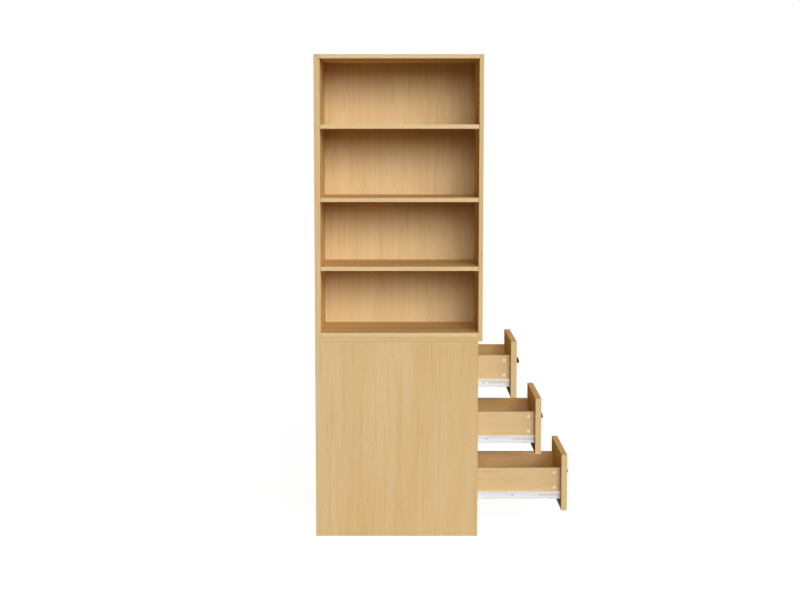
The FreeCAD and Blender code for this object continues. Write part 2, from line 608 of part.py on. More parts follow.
def drawer(number, open_by):
    """One drawer with its box, its pull, its half of the runners and its fasteners."""
    name = f"drawer_{number}"
    front_x = X_RIGHT + open_by
    rear_x = front_x - DRAWER_LENGTH
    front_top = CHEST_TOP_UNDER - FRONT_TOP_GAP - (number - 1) * (FRONT_HEIGHT + FRONT_GAP)
    side_z = front_top - DRAWER_SIDE_DROP - DRAWER_SIDE_HEIGHT
    side_top = side_z + DRAWER_SIDE_HEIGHT
    bottom_z = side_z + DRAWER_BOTTOM_LIFT
    bottom_top = bottom_z + DRAWER_BOTTOM
    inner_y = (FLANKS[0].face_y + DRAWER_BOARD, FLANKS[1].face_y - DRAWER_BOARD)
    middle_y = (Y_FRONT + Y_WALL) / 2
    drawer_cam = (DRAWER_CAM_RADIUS, DRAWER_CAM_FLOOR)
    caps, fasteners, bottom_holes = [], [], []

    front = Board(
        f"{name}_front",
        (front_x, front_x + FRONT_BOARD),
        (Y_FRONT, Y_WALL),
        (front_top - FRONT_HEIGHT, front_top),
    )
    back = Board(f"{name}_back", (rear_x, rear_x + DRAWER_BOARD), inner_y, (bottom_top, side_top))
    groove = box(
        rear_x,
        front_x + FRONT_GROOVE,
        inner_y[0] - SIDE_GROOVE,
        inner_y[1] + SIDE_GROOVE,
        bottom_z - GROOVE_SLIP,
        bottom_top + GROOVE_SLIP,
    )
    front.cut(groove)

    for flank in FLANKS:
        inner_face = flank.point(0, -DRAWER_BOARD, 0).y
        side_y = sorted((flank.face_y, inner_face))
        side = Board(f"{name}_{flank.name}_side", (rear_x, front_x), side_y, (side_z, side_top))
        side.cut(groove)
        for z in (side_top - DRAWER_CAM_DROP, side_z + DRAWER_CAM_LIFT):
            at = flank.point(front_x, -DRAWER_BOARD / 2, z)
            cam_joint(side, front, at, -X, flank.out, drawer_cam, fasteners, fasteners)
            cap_seat = flank.point(front_x - BOLT_REACH, 0.0, z)
            caps.append(rod(cap_seat, flank.out, DRAWER_CAM_RADIUS + CAP_RIM, CAP_HEIGHT))
        for z in (side_top - BACK_SCREW_INSET, (bottom_top + side_top) / 2):
            seat = flank.point(rear_x + DRAWER_BOARD / 2, 0.0, z)
            hole = screw_hole(seat, -flank.out, BACK_SCREW_LENGTH)
            side.cut(hole)
            back.cut(hole)
            fasteners.append(screw(seat, -flank.out, BACK_SCREW_LENGTH))
        for seat in foot_screw_seats(flank, front_x, side_z):
            side.cut(screw_hole(seat, Z, FOOT_SCREW_LENGTH))
            fasteners.append(screw(seat, Z, FOOT_SCREW_LENGTH))
        save(f"{name}_{flank.name}_runner", [drawer_runner(flank, front_x, side_z)])
        side.save()

    for y in (inner_y[0] + BOTTOM_SCREW_INSET, inner_y[1] - BOTTOM_SCREW_INSET):
        seat = V(rear_x + DRAWER_BOARD / 2, y, bottom_z)
        bottom_holes.append(screw_hole(seat, Z, BOTTOM_SCREW_LENGTH))
        fasteners.append(screw(seat, Z, BOTTOM_SCREW_LENGTH))
    back.cut(*bottom_holes)
    back.save()
    bottom = Board(
        f"{name}_bottom",
        (rear_x, front_x + FRONT_GROOVE - GROOVE_SLIP),
        (inner_y[0] - SIDE_GROOVE + GROOVE_SLIP, inner_y[1] + SIDE_GROOVE - GROOVE_SLIP),
        (bottom_z, bottom_top),
    )
    bottom.cut(*bottom_holes)
    bottom.save()

    pull_z = front_top - FRONT_HEIGHT / 2
    pull_seat = V(front_x, middle_y, pull_z + PULL_POST_HEIGHT)
    pull_length = FRONT_BOARD + PULL_SCREW_DEPTH
    front.cut(screw_hole(pull_seat, X, pull_length, PULL_SCREW_RADIUS))
    front.save()
    fasteners.append(screw(pull_seat, X, pull_length, PULL_SCREW_RADIUS))
    save(f"{name}_pull", [pull(front_x + FRONT_BOARD, middle_y, pull_z)])
    save(f"{name}_cam_caps", caps)
    save(f"{name}_fasteners", fasteners)
    roller_x = rear_x + ROLLER_INSET
    roller_z = side_z + REAR_ROLLER_HEIGHT
    save(f"{name}_rollers", [roller(flank, roller_x, roller_z, ROLLER_FAR, 1) for flank in FLANKS])
    return side_z


# ---------------------------------------------------------------- assembly
def main():
    os.makedirs("parts", exist_ok=True)
    cams, bolts, dowels = [], [], []
    chest = chest_boards()
    case = bookcase_boards()
    join_chest(chest, cams, bolts, dowels)
    join_bookcase(case, cams, bolts, dowels)
    save("unit_joining_screws", join_units(chest["top"], case["bottom"]))
    shelves(case)

    runner_screws = []
    runners = {flank.name: [] for flank in FLANKS}
    screw_length = STEEL + BOARD - TIP_COVER
    for number, open_by in ((1, TOP_DRAWER_OPEN), (2, MIDDLE_DRAWER_OPEN), (3, BOTTOM_DRAWER_OPEN)):
        side_z = drawer(number, open_by)
        roller_z = side_z + FRONT_ROLLER_HEIGHT
        front_rollers = [roller(flank, FRONT_ROLLER_X, roller_z, ROLLER_NEAR, -1) for flank in FLANKS]
        save(f"cabinet_rollers_{number}", front_rollers)
        for flank, panel in zip(FLANKS, ("face", "rear")):
            runners[flank.name].append(cabinet_runner(flank, side_z, screw_length))
            for seat in cabinet_screw_seats(flank, side_z):
                chest[panel].cut(screw_hole(seat, flank.out, screw_length))
                runner_screws.append(screw(seat, flank.out, screw_length))
    for side, solids in runners.items():
        save(f"cabinet_runners_{side}", solids)

    save("cabinet_runner_screws", runner_screws)
    save("carcass_cams", cams)
    save("carcass_cam_bolts", bolts)
    save("carcass_dowels", dowels)
    for board in list(chest.values()) + list(case.values()):
        board.save()


main()
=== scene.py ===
"""Dresses the tall bookcase and the chest of side-opening drawers that it stands on.

All lengths are metres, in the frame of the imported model. The drawers open along +X, the
bookcase is open towards -Y, and +Z is up.
"""

import json
import logging
import math
from abc import ABC, abstractmethod
from dataclasses import dataclass
from enum import Enum
from typing import Iterable, Sequence

import bmesh
import bpy
from mathutils import Euler, Matrix, Vector


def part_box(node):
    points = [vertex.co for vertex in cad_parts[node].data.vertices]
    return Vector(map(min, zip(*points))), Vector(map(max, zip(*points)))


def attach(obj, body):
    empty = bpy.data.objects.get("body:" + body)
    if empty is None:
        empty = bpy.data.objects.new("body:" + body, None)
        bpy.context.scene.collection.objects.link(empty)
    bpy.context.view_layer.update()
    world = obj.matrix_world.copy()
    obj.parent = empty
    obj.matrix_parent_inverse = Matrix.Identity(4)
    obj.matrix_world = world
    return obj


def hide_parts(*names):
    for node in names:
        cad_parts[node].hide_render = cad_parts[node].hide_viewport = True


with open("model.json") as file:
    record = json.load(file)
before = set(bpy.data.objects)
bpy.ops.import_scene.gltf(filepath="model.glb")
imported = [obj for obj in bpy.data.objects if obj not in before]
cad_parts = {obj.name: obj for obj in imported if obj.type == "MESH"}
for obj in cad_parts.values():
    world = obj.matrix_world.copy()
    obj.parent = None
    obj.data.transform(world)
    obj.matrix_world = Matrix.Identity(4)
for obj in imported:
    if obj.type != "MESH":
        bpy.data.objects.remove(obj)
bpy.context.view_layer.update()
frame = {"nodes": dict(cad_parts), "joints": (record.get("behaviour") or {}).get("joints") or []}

LOG = logging.getLogger("bookcase")
DRAWERS = (1, 2, 3)
SHELVES = ("shelf_1", "shelf_2", "shelf_3")
MM = 0.001
WELD = 0.001 * MM
TOUCHING = 0.01 * MM
QUARTER_TURN = math.pi / 2
FULL_TURN = 2 * math.pi
FLOAT, COLOUR, VECTOR = "NodeSocketFloat", "NodeSocketColor", "NodeSocketVector"

Colour = tuple[float, float, float, float]
Point = tuple[float, float]
Bend = tuple[Sequence[int], float, int]
Shape = bmesh.types.BMesh
Socket = bpy.types.NodeSocket
Sockets = bpy.types.bpy_prop_collection


def srgb(red: int, green: int, blue: int) -> Colour:
    """Turns a screen colour into the linear one that shaders use, by the usual screen curve.

    Args:
        red: Red from 0 to 255.
        green: Green from 0 to 255.
        blue: Blue from 0 to 255.

    Returns:
        The linear colour, with full alpha.
    """
    shares = (level / 255 for level in (red, green, blue))
    linear = (s / 12.92 if s <= 0.04045 else ((s + 0.055) / 1.055) ** 2.4 for s in shares)
    return (*linear, 1.0)


class Grain(Enum):
    """The way that the grain runs, with the turn that brings it onto a pattern's own Z."""

    ALONG_X = (0.0, -QUARTER_TURN, 0.0)
    ALONG_Y = (QUARTER_TURN, 0.0, 0.0)
    ALONG_Z = (0.0, 0.0, 0.0)


class Flank(Enum):
    """A flank of a drawer, with the sign of its way out along Y."""

    LEFT = -1
    RIGHT = 1

    @property
    def word(self) -> str:
        """The flank's name as it stands in node names."""
        return self.name.lower()


class Slot(Enum):
    """The record's material slots. A board's slot tells which way its grain runs."""

    OAK_UPRIGHT = "oak_upright"
    OAK_LENGTHWISE = "oak_lengthwise"
    OAK_CROSSWISE = "oak_crosswise"
    ZINC = "zinc_steel"
    WHITE_STEEL = "white_steel"
    NYLON = "nylon"
    PALE_PLASTIC = "pale_plastic"
    BLACK = "black_enamel"


BOARD_GRAIN = {
    Slot.OAK_UPRIGHT: Grain.ALONG_Z,
    Slot.OAK_LENGTHWISE: Grain.ALONG_X,
    Slot.OAK_CROSSWISE: Grain.ALONG_Y,
}


# ------------------------------------------------------------------------- node wiring
@dataclass(frozen=True)
class Noise:
    """The numbers of one noise texture.

    Attributes:
        scale: How fine it is.
        detail: How many finer layers it has.
        rough: How strong the finer layers are.
        stretch: Factor of the place along each axis. A small one draws the noise out.
    """

    scale: float
    detail: float
    rough: float
    stretch: tuple[float, float, float] | None = None


class Wiring:
    """Adds nodes to a tree and links them."""

    def __init__(self, tree: bpy.types.NodeTree) -> None:
        """Keeps the tree that is wired."""
        self.tree = tree

    @classmethod
    def of(cls, owner: bpy.types.Material | bpy.types.World) -> "Wiring":
        """Empties the node tree of a material or the world.

        Args:
            owner: What the tree belongs to.

        Returns:
            The tree's wiring.
        """
        owner.use_nodes = True
        owner.node_tree.nodes.clear()
        return cls(owner.node_tree)

    def node(self, kind: str, inputs: dict | None = None, **settings: object) -> bpy.types.Node:
        """Adds a node.

        Args:
            kind: The node's type name.
            inputs: Socket name or number, and the value or socket that feeds it.
            **settings: The node's own properties.

        Returns:
            The new node.
        """
        node = self.tree.nodes.new(kind)
        for name, value in settings.items():
            setattr(node, name, value)
        for key, value in (inputs or {}).items():
            self.feed(node.inputs[key], value)
        return node

    def feed(self, socket: Socket, value: object) -> None:
        """Gives a socket a plain value, or links another socket to it.

        Args:
            socket: The input that is fed.
            value: The value or the other socket.
        """
        if isinstance(value, Socket):
            self.tree.links.new(value, socket)
        else:
            socket.default_value = value

    def math(self, operation: str, *values: object, clamp: bool = False) -> Socket:
        """Adds a math node and returns its result."""
        inputs = dict(enumerate(values))
        return self.node("ShaderNodeMath", inputs, operation=operation, use_clamp=clamp).outputs[0]

    def times(self, first: object, second: object) -> Socket:
        """The product of two values."""
        return self.math("MULTIPLY", first, second)

    def minus(self, first: object, second: object, clamp: bool = False) -> Socket:
        """The difference of two values."""
        return self.math("SUBTRACT", first, second, clamp=clamp)

    def vector(self, operation: str, *values: object) -> Socket:
        """Adds a vector math node and returns its vector."""
        inputs = dict(enumerate(values))
        return self.node("ShaderNodeVectorMath", inputs, operation=operation).outputs[0]

    def noise(self, place: object, noise: Noise, scale: object = None) -> Socket:
        """Adds a noise texture.

        Args:
            place: Where the texture is read.
            noise: Its numbers.
            scale: A socket that gives the scale instead.

        Returns:
            The texture's value.
        """
        if noise.stretch:
            place = self.vector("MULTIPLY", place, noise.stretch)
        inputs = {
            "Vector": place,
            "Scale": noise.scale if scale is None else scale,
            "Detail": noise.detail,
            "Roughness": noise.rough,
        }
        return self.node("ShaderNodeTexNoise", inputs).outputs["Fac"]

    def span(self, value: object, low: float, high: float) -> Socket:
        """Maps a value onto 0 to 1, smoothly, between two limits."""
        inputs = {"Value": value, "From Min": low, "From Max": high}
        return self.node("ShaderNodeMapRange", inputs, interpolation_type="SMOOTHSTEP").outputs[0]

    def levels(self, value: object, low: float, high: float) -> Socket:
        """Maps 0 to 1 onto two limits."""
        inputs = {"Value": value, "To Min": low, "To Max": high}
        return self.node("ShaderNodeMapRange", inputs).outputs["Result"]

    def mix(self, share: object, first: object, second: object) -> Socket:
        """Mixes two colours, by the sockets that a mix node has for them."""
        inputs = {0: share, 6: first, 7: second}
        return self.node("ShaderNodeMix", inputs, data_type="RGBA").outputs[2]

    def bump(self, height: object, strength: float, distance: float) -> Socket:
        """Adds a bump node and returns its normal."""
        inputs = {"Height": height, "Strength": strength, "Distance": distance}
        return self.node("ShaderNodeBump", inputs).outputs["Normal"]


class Effect(ABC):
    """A shader node group that several finishes share. It is built once."""

    name: str = ""
    inputs: dict[str, str] = {}
    outputs: dict[str, str] = {}
    MIDDLE = (0.3, 0.7)

    def tree(self) -> bpy.types.NodeTree:
        """The group, built on first use.

        Returns:
            The group's node tree.
        """
        found = bpy.data.node_groups.get(self.name)
        if found:
            return found
        tree = bpy.data.node_groups.new(self.name, "ShaderNodeTree")
        for sockets, way in ((self.inputs, "INPUT"), (self.outputs, "OUTPUT")):
            for name, kind in sockets.items():
                tree.interface.new_socket(name=name, in_out=way, socket_type=kind)
        wiring = Wiring(tree)
        source = wiring.node("NodeGroupInput")
        wiring.node("NodeGroupOutput", self.wire(wiring, source.outputs))
        return tree

    def place(self, wiring: Wiring, **values: object) -> Sockets:
        """Puts the group into a material.

        Args:
            wiring: The material's wiring.
            **values: Input sockets, with underscores for spaces.

        Returns:
            The group node's outputs.
        """
        node = wiring.node("ShaderNodeGroup", node_tree=self.tree())
        for name, value in values.items():
            wiring.feed(node.inputs[name.replace("_", " ")], value)
        return node.outputs

    @abstractmethod
    def wire(self, w: Wiring, source: Sockets) -> dict:
        """Builds the inside of the group.

        Args:
            w: The group's wiring.
            source: The group's inputs.

        Returns:
            What feeds each output, by name.
        """


class OakGrain(Effect):
    """Straight oak grain along the pattern's Z: broad bands, fine lines and short pores."""

    name = "oak_grain"
    inputs = {"Vector": VECTOR, "Light": COLOUR, "Dark": COLOUR, "Line": COLOUR, "Pore": COLOUR}
    outputs = {"Color": COLOUR, "Height": FLOAT}

    WANDER = Noise(2.0, 2.0, 0.5, (1.5, 1.5, 1.1))
    WANDER_REACH = 0.02
    BANDS = Noise(17.0, 2.0, 0.45, (1, 1, 0.06))
    LINES = Noise(130.0, 4.0, 0.65, (1, 1, 0.022))
    LINE_SPAN, LINE_SHARE = (0.5, 0.78), 0.8
    HAIRS = Noise(620.0, 3.0, 0.6, (1, 1, 0.02))
    HAIR_SPAN, HAIR_SHARE, HAIR_HEIGHT = (0.5, 0.8), 0.7, 0.35
    SPECKS = Noise(1900.0, 1.0, 0.5, (1, 1, 0.04))
    SPECK_SPAN, SPECKED_HAIR_SPAN, PORE_SHARE = (0.6, 0.74), (0.4, 0.62), 0.65

    def wire(self, w: Wiring, source: Sockets) -> dict:
        """Stacks noises on wandering lines, each finer than the last and drawn out along Z.

        Args:
            w: The group's wiring.
            source: The group's inputs.

        Returns:
            What feeds each output, by name.
        """
        place = source["Vector"]
        drift = w.times(w.minus(w.noise(place, self.WANDER), 0.5), self.WANDER_REACH)
        aside = w.node("ShaderNodeCombineXYZ", {0: drift, 1: drift}).outputs[0]
        bent = w.vector("ADD", place, aside)
        bands = w.span(w.noise(bent, self.BANDS), *self.MIDDLE)
        lines, hairs, specks = (w.noise(bent, n) for n in (self.LINES, self.HAIRS, self.SPECKS))
        line_mask = w.times(w.span(lines, *self.LINE_SPAN), self.LINE_SHARE)
        hair_mask = w.times(w.span(hairs, *self.HAIR_SPAN), self.HAIR_SHARE)
        pores = w.times(w.span(specks, *self.SPECK_SPAN), w.span(hairs, *self.SPECKED_HAIR_SPAN))
        colour = w.mix(bands, source["Dark"], source["Light"])
        colour = w.mix(line_mask, colour, source["Line"])
        colour = w.mix(hair_mask, colour, source["Line"])
        colour = w.mix(w.times(pores, self.PORE_SHARE), colour, source["Pore"])
        return {"Color": colour, "Height": w.minus(w.times(hairs, self.HAIR_HEIGHT), pores)}


class BoardEdges(Effect):
    """Masks near the rim of a board: the glue line beside its edge band, and wear."""

    name = "board_edges"
    inputs = {
        "Vector": VECTOR,
        "Centre": VECTOR,
        "Half Size": VECTOR,
        "Band": FLOAT,
        "Line Width": FLOAT,
        "Wear Width": FLOAT,
    }
    outputs = {"Line": FLOAT, "Wear": FLOAT}

    def wire(self, w: Wiring, source: Sockets) -> dict:
        """Measures how far a point of a face is from the face's nearest edge.

        Args:
            w: The group's wiring.
            source: The group's inputs.

        Returns:
            What feeds each output, by name.
        """
        offset = w.vector("ABSOLUTE", w.vector("SUBTRACT", source["Vector"], source["Centre"]))
        depth = w.vector("SUBTRACT", source["Half Size"], offset)
        x, y, z = w.node("ShaderNodeSeparateXYZ", {0: depth}).outputs
        smaller, larger = w.math("MINIMUM", x, y), w.math("MAXIMUM", x, y)
        rim = w.math("MAXIMUM", smaller, w.math("MINIMUM", larger, z))
        from_line = w.math("ABSOLUTE", w.minus(rim, source["Band"]))
        line = w.minus(1.0, w.math("DIVIDE", from_line, source["Line Width"]), clamp=True)
        wear = w.minus(1.0, w.math("DIVIDE", rim, source["Wear Width"]), clamp=True)
        return {"Line": line, "Wear": w.times(wear, wear)}


class Handling(Effect):
    """Soft patches and thin scuffs that change how a surface shines."""

    name = "handling"
    inputs = {"Vector": VECTOR, "Patch Scale": FLOAT, "Scuff Scale": FLOAT}
    outputs = {"Patches": FLOAT, "Scuffs": FLOAT}

    PATCHES = Noise(1.0, 3.0, 0.55)
    SCUFFS = Noise(1.0, 5.0, 0.7, (1.0, 0.2, 0.35))
    SCUFF_SPAN = (0.62, 0.8)

    def wire(self, w: Wiring, source: Sockets) -> dict:
        """One soft noise, and one drawn out and cut to thin marks.

        Args:
            w: The group's wiring.
            source: The group's inputs.

        Returns:
            What feeds each output, by name.
        """
        soft = w.noise(source["Vector"], self.PATCHES, source["Patch Scale"])
        marks = w.noise(source["Vector"], self.SCUFFS, source["Scuff Scale"])
        return {"Patches": w.span(soft, *self.MIDDLE), "Scuffs": w.span(marks, *self.SCUFF_SPAN)}


class FineCoat(Effect):
    """The faint ripple of a sprayed or moulded surface."""

    name = "fine_coat"
    inputs = {"Vector": VECTOR, "Scale": FLOAT}
    outputs = {"Height": FLOAT, "Tone": FLOAT}

    RIPPLE = Noise(1.0, 3.0, 0.5)
    TONE = Noise(24.0, 2.0, 0.5)

    def wire(self, w: Wiring, source: Sockets) -> dict:
        """Fine noise for the ripple and a broader one for the tone.

        Args:
            w: The group's wiring.
            source: The group's inputs.

        Returns:
            What feeds each output, by name.
        """
        ripple = w.noise(source["Vector"], self.RIPPLE, source["Scale"])
        tone = w.noise(source["Vector"], self.TONE)
        return {"Height": ripple, "Tone": w.span(tone, *self.MIDDLE)}


# ---------------------------------------------------------------------------- finishes
@dataclass(frozen=True)
class Finish(ABC):
    """A surface finish that makes one material."""

    name: str

    def material(self) -> bpy.types.Material:
        """The finish's material, built on first use.

        Returns:
            The material.
        """
        found = bpy.data.materials.get(self.name)
        if found:
            return found
        material = bpy.data.materials.new(self.name)
        w = Wiring.of(material)
        place = w.node("ShaderNodeTexCoord").outputs["Object"]
        shader = w.node("ShaderNodeBsdfPrincipled", self.surface(w, place))
        w.node("ShaderNodeOutputMaterial", {"Surface": shader.outputs["BSDF"]})
        return material

    @abstractmethod
    def surface(self, w: Wiring, place: Socket) -> dict:
        """Works out the inputs of the finish's Principled shader.

        Args:
            w: The material's wiring.
            place: Object coordinates.

        Returns:
            Socket names with their values or sources.
        """


@dataclass(frozen=True)
class OakPrint:
    """The four colours of an oak print."""

    light: Colour
    dark: Colour
    line: Colour
    pore: Colour

    @classmethod
    def of(cls, *tones: tuple[int, int, int]) -> "OakPrint":
        """A print from four screen colours."""
        return cls(*(srgb(*tone) for tone in tones))


BOARD_PRINT = OakPrint.of((221, 190, 142), (215, 183, 131), (202, 166, 110), (166, 125, 75))
BAND_PRINT = OakPrint.of((229, 199, 153), (224, 192, 144), (214, 180, 128), (186, 148, 98))
STRIPED_PRINT = OakPrint.of((221, 190, 143), (214, 181, 127), (201, 166, 111), (164, 125, 77))
CALM_PRINT = OakPrint.of((220, 189, 142), (217, 186, 137), (206, 171, 117), (170, 130, 80))
PALE_PRINT = OakPrint.of((221, 194, 150), (215, 187, 139), (202, 170, 118), (170, 133, 84))
# Painted shade: a darker, more saturated copy of the oak print, for boards and bands that are seen
# in shade.
PAINTED_SHADE_PRINT = OakPrint.of((224, 187, 130), (218, 180, 118), (204, 162, 98), (168, 121, 65))
# Painted shade, deeper still: the print of the far drawer sides, whose inner faces are seen in
# shade.
PAINTED_DEEP_SHADE_PRINT = OakPrint.of((229, 189, 136), (214, 171, 110), (199, 151, 90), (163, 113, 60))


@dataclass(frozen=True)
class Oak(Finish):
    """Matt oak-look melamine, or the thin band glued to its edges.

    Attributes:
        grain: The way that the grain runs.
        seed: Moves the pattern, so that no two boards are alike.
        tones: The print's colours.
        centre: The board's middle, where its rim shows a glue line and wear.
        half_size: Half the board's size, with centre.
    """

    grain: Grain
    seed: float = 0.0
    tones: OakPrint = BOARD_PRINT
    centre: tuple[float, float, float] | None = None
    half_size: tuple[float, float, float] | None = None
    seed_steps: tuple[float, float, float] = (0.71, 0.43, 1.37)
    roughness: tuple[float, float] = (0.55, 0.7)
    sheen_level: float = 0.0
    patch_scale: float = 3.0
    scuff_scale: float = 40.0
    scuff_polish: float = 0.06
    band: float = 1.0 * MM
    glue_line: float = 0.3 * MM
    glue_share: float = 0.55
    wear_width: float = 3.0 * MM
    wear_share: float = 0.25
    wear_polish: float = 0.08
    relief: tuple[float, float] = (0.25, 0.12 * MM)

    def surface(self, w: Wiring, place: Socket) -> dict:
        """Turns the grain to the board, with a glue line and a little wear near its rim.

        Args:
            w: The material's wiring.
            place: Object coordinates.

        Returns:
            Socket names with their values or sources.
        """
        tones = self.tones
        offset = tuple(step * self.seed for step in self.seed_steps)
        inputs = {"Vector": place, "Location": offset, "Rotation": self.grain.value}
        along = w.node("ShaderNodeMapping", inputs).outputs["Vector"]
        colours = {"Light": tones.light, "Dark": tones.dark, "Line": tones.line, "Pore": tones.pore}
        grain = OakGrain().place(w, Vector=along, **colours)
        touch = Handling().place(
            w, Vector=place, Patch_Scale=self.patch_scale, Scuff_Scale=self.scuff_scale
        )
        colour = grain["Color"]
        rough = w.levels(touch["Patches"], *self.roughness)
        if self.centre:
            rim = BoardEdges().place(
                w,
                Vector=place,
                Centre=self.centre,
                Half_Size=self.half_size,
                Band=self.band,
                Line_Width=self.glue_line,
                Wear_Width=self.wear_width,
            )
            colour = w.mix(w.times(rim["Line"], self.glue_share), colour, tones.pore)
            colour = w.mix(w.times(rim["Wear"], self.wear_share), colour, tones.light)
            rough = w.minus(rough, w.times(rim["Wear"], self.wear_polish))
        return {
            "Base Color": colour,
            "Roughness": w.minus(rough, w.times(touch["Scuffs"], self.scuff_polish)),
            "Specular IOR Level": self.sheen_level,
            "Normal": w.bump(grain["Height"], *self.relief),
        }


@dataclass(frozen=True)
class Chipboard(Finish):
    """The bare core that shows in drilled holes and grooves."""

    pale: Colour = srgb(205, 172, 128)
    dark: Colour = srgb(142, 104, 66)
    chip_scale: float = 900.0
    roughness: tuple[float, float] = (0.75, 0.9)
    sheen_level: float = 0.2
    relief: tuple[float, float] = (0.5, 0.2 * MM)

    def surface(self, w: Wiring, place: Socket) -> dict:
        """Pressed chips of mixed tone.

        Args:
            w: The material's wiring.
            place: Object coordinates.

        Returns:
            Socket names with their values or sources.
        """
        chips = w.node("ShaderNodeTexVoronoi", {"Vector": place, "Scale": self.chip_scale})
        tone = w.node("ShaderNodeSeparateColor", {0: chips.outputs["Color"]}).outputs[0]
        return {
            "Base Color": w.mix(tone, self.dark, self.pale),
            "Roughness": w.levels(tone, *self.roughness),
            "Specular IOR Level": self.sheen_level,
            "Normal": w.bump(tone, *self.relief),
        }


@dataclass(frozen=True)
class Beech(Finish):
    """Plain beech with its short brown flecks."""

    pale: Colour = srgb(226, 190, 146)
    fleck: Colour = srgb(176, 126, 82)
    flecks: Noise = Noise(1500.0, 2.0, 0.6, (0.3, 0.3, 1.0))
    fleck_span: tuple[float, float] = (0.55, 0.7)
    roughness: tuple[float, float] = (0.55, 0.7)
    sheen_level: float = 0.3
    relief: tuple[float, float] = (0.3, 0.1 * MM)

    def surface(self, w: Wiring, place: Socket) -> dict:
        """Flecks drawn out along the dowels.

        Args:
            w: The material's wiring.
            place: Object coordinates.

        Returns:
            Socket names with their values or sources.
        """
        flecks = w.noise(place, self.flecks)
        return {
            "Base Color": w.mix(w.span(flecks, *self.fleck_span), self.pale, self.fleck),
            "Roughness": w.levels(flecks, *self.roughness),
            "Specular IOR Level": self.sheen_level,
            "Normal": w.bump(flecks, *self.relief),
        }


@dataclass(frozen=True)
class Coated(Finish):
    """A sprayed or moulded surface in one colour, with a ripple, patches and scuffs."""

    main: Colour
    worn: Colour
    roughness: tuple[float, float]
    ripple_scale: float
    ripple: float
    sheen_level: float = 0.5
    ripple_strength: float = 0.3
    patch_scale: float = 35.0
    scuff_scale: float = 180.0
    scuff_share: float = 0.35
    tone_share: float = 0.12

    def surface(self, w: Wiring, place: Socket) -> dict:
        """Shifts the main colour a little with the coat's thickness and its scuffs.

        Args:
            w: The material's wiring.
            place: Object coordinates.

        Returns:
            Socket names with their values or sources.
        """
        coat = FineCoat().place(w, Vector=place, Scale=self.ripple_scale)
        touch = Handling().place(
            w, Vector=place, Patch_Scale=self.patch_scale, Scuff_Scale=self.scuff_scale
        )
        scuffs = w.times(touch["Scuffs"], self.scuff_share)
        tone = w.times(coat["Tone"], self.tone_share)
        return {
            "Base Color": w.mix(w.math("ADD", scuffs, tone), self.main, self.worn),
            "Roughness": w.levels(touch["Patches"], *self.roughness),
            "Specular IOR Level": self.sheen_level,
            "Normal": w.bump(coat["Height"], self.ripple_strength, self.ripple),
        }


@dataclass(frozen=True)
class Plated(Finish):
    """Bare or zinc-plated metal with its cloudy bloom."""

    bright: Colour
    cloudy: Colour
    roughness: tuple[float, float]
    patch_scale: float = 160.0
    scuff_scale: float = 600.0
    ripple_scale: float = 2400.0
    cloud_share: float = 0.8
    relief: tuple[float, float] = (0.25, 0.05 * MM)

    def surface(self, w: Wiring, place: Socket) -> dict:
        """Metal whose tone and polish shift together.

        Args:
            w: The material's wiring.
            place: Object coordinates.

        Returns:
            Socket names with their values or sources.
        """
        touch = Handling().place(
            w, Vector=place, Patch_Scale=self.patch_scale, Scuff_Scale=self.scuff_scale
        )
        coat = FineCoat().place(w, Vector=place, Scale=self.ripple_scale)
        cloud = w.times(touch["Patches"], self.cloud_share)
        return {
            "Base Color": w.mix(cloud, self.bright, self.cloudy),
            "Metallic": 1.0,
            "Roughness": w.levels(w.math("MAXIMUM", touch["Scuffs"], cloud), *self.roughness),
            "Normal": w.bump(coat["Height"], *self.relief),
        }


LIGHT_BAND = Oak("oak_band_light", Grain.ALONG_X, seed=7.0, tones=BAND_PRINT)
PLAIN_BAND = Oak("oak_band_plain", Grain.ALONG_X, seed=7.5)
# Bands that run along Y, such as the top faces of the drawer fronts, take the painted-shade print,
# darker than the lit fronts.
SHADED_CROSS_BAND = Oak("oak_band_cross_shaded", Grain.ALONG_Y, seed=8.0, tones=PAINTED_SHADE_PRINT)
UPRIGHT_BAND = Oak("oak_band_upright", Grain.ALONG_Z, seed=9.0)
CORE = Chipboard("chipboard_core")
BEECH = Beech("beech_dowel")
ZINC = Plated("zinc_plate", srgb(198, 194, 184), srgb(154, 149, 138), (0.28, 0.46))
DIE_CAST = Plated("zinc_die_cast", srgb(122, 120, 116), srgb(92, 90, 86), (0.5, 0.65))
WHITE_COAT = Coated(
    "white_epoxy_coat", srgb(231, 232, 233), srgb(212, 212, 212), (0.3, 0.44), 900.0, 0.06 * MM
)
NYLON = Coated(
    "moulded_nylon", srgb(238, 237, 231), srgb(222, 219, 210), (0.35, 0.5), 1400.0, 0.03 * MM
)
PALE_PLASTIC = Coated(
    "pale_cap_plastic",
    srgb(237, 216, 190),
    srgb(226, 203, 174),
    (0.45, 0.6),
    1600.0,
    0.03 * MM,
    sheen_level=0.2,
)
BLACK_COAT = Coated(
    "black_pull_enamel",
    srgb(9, 9, 10),
    srgb(24, 24, 25),
    (0.42, 0.55),
    1100.0,
    0.05 * MM,
    sheen_level=0.1,
)


# ------------------------------------------------------------------------------ shapes
@dataclass(frozen=True)
class Box:
    """A box between two corners."""

    low: Vector
    high: Vector

    @classmethod
    def of(cls, node: str) -> "Box":
        """The box of a CAD node at rest."""
        low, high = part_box(node)
        return cls(low, high)

    @property
    def centre(self) -> Vector:
        """The middle of the box."""
        return (self.low + self.high) / 2

    @property
    def size(self) -> Vector:
        """The box's size along each axis."""
        return self.high - self.low

    def grown(self, by: float) -> "Box":
        """The box, larger by a margin on every side."""
        margin = Vector((by, by, by))
        return Box(self.low - margin, self.high + margin)

    def mesh(self) -> Shape:
        """Makes the box as a closed mesh.

        Returns:
            The mesh, in its place.
        """
        shape = bmesh.new()
        bmesh.ops.create_cube(shape, size=1.0)
        bmesh.ops.scale(shape, vec=self.size, verts=shape.verts)
        bmesh.ops.translate(shape, vec=self.centre, verts=shape.verts)
        return shape


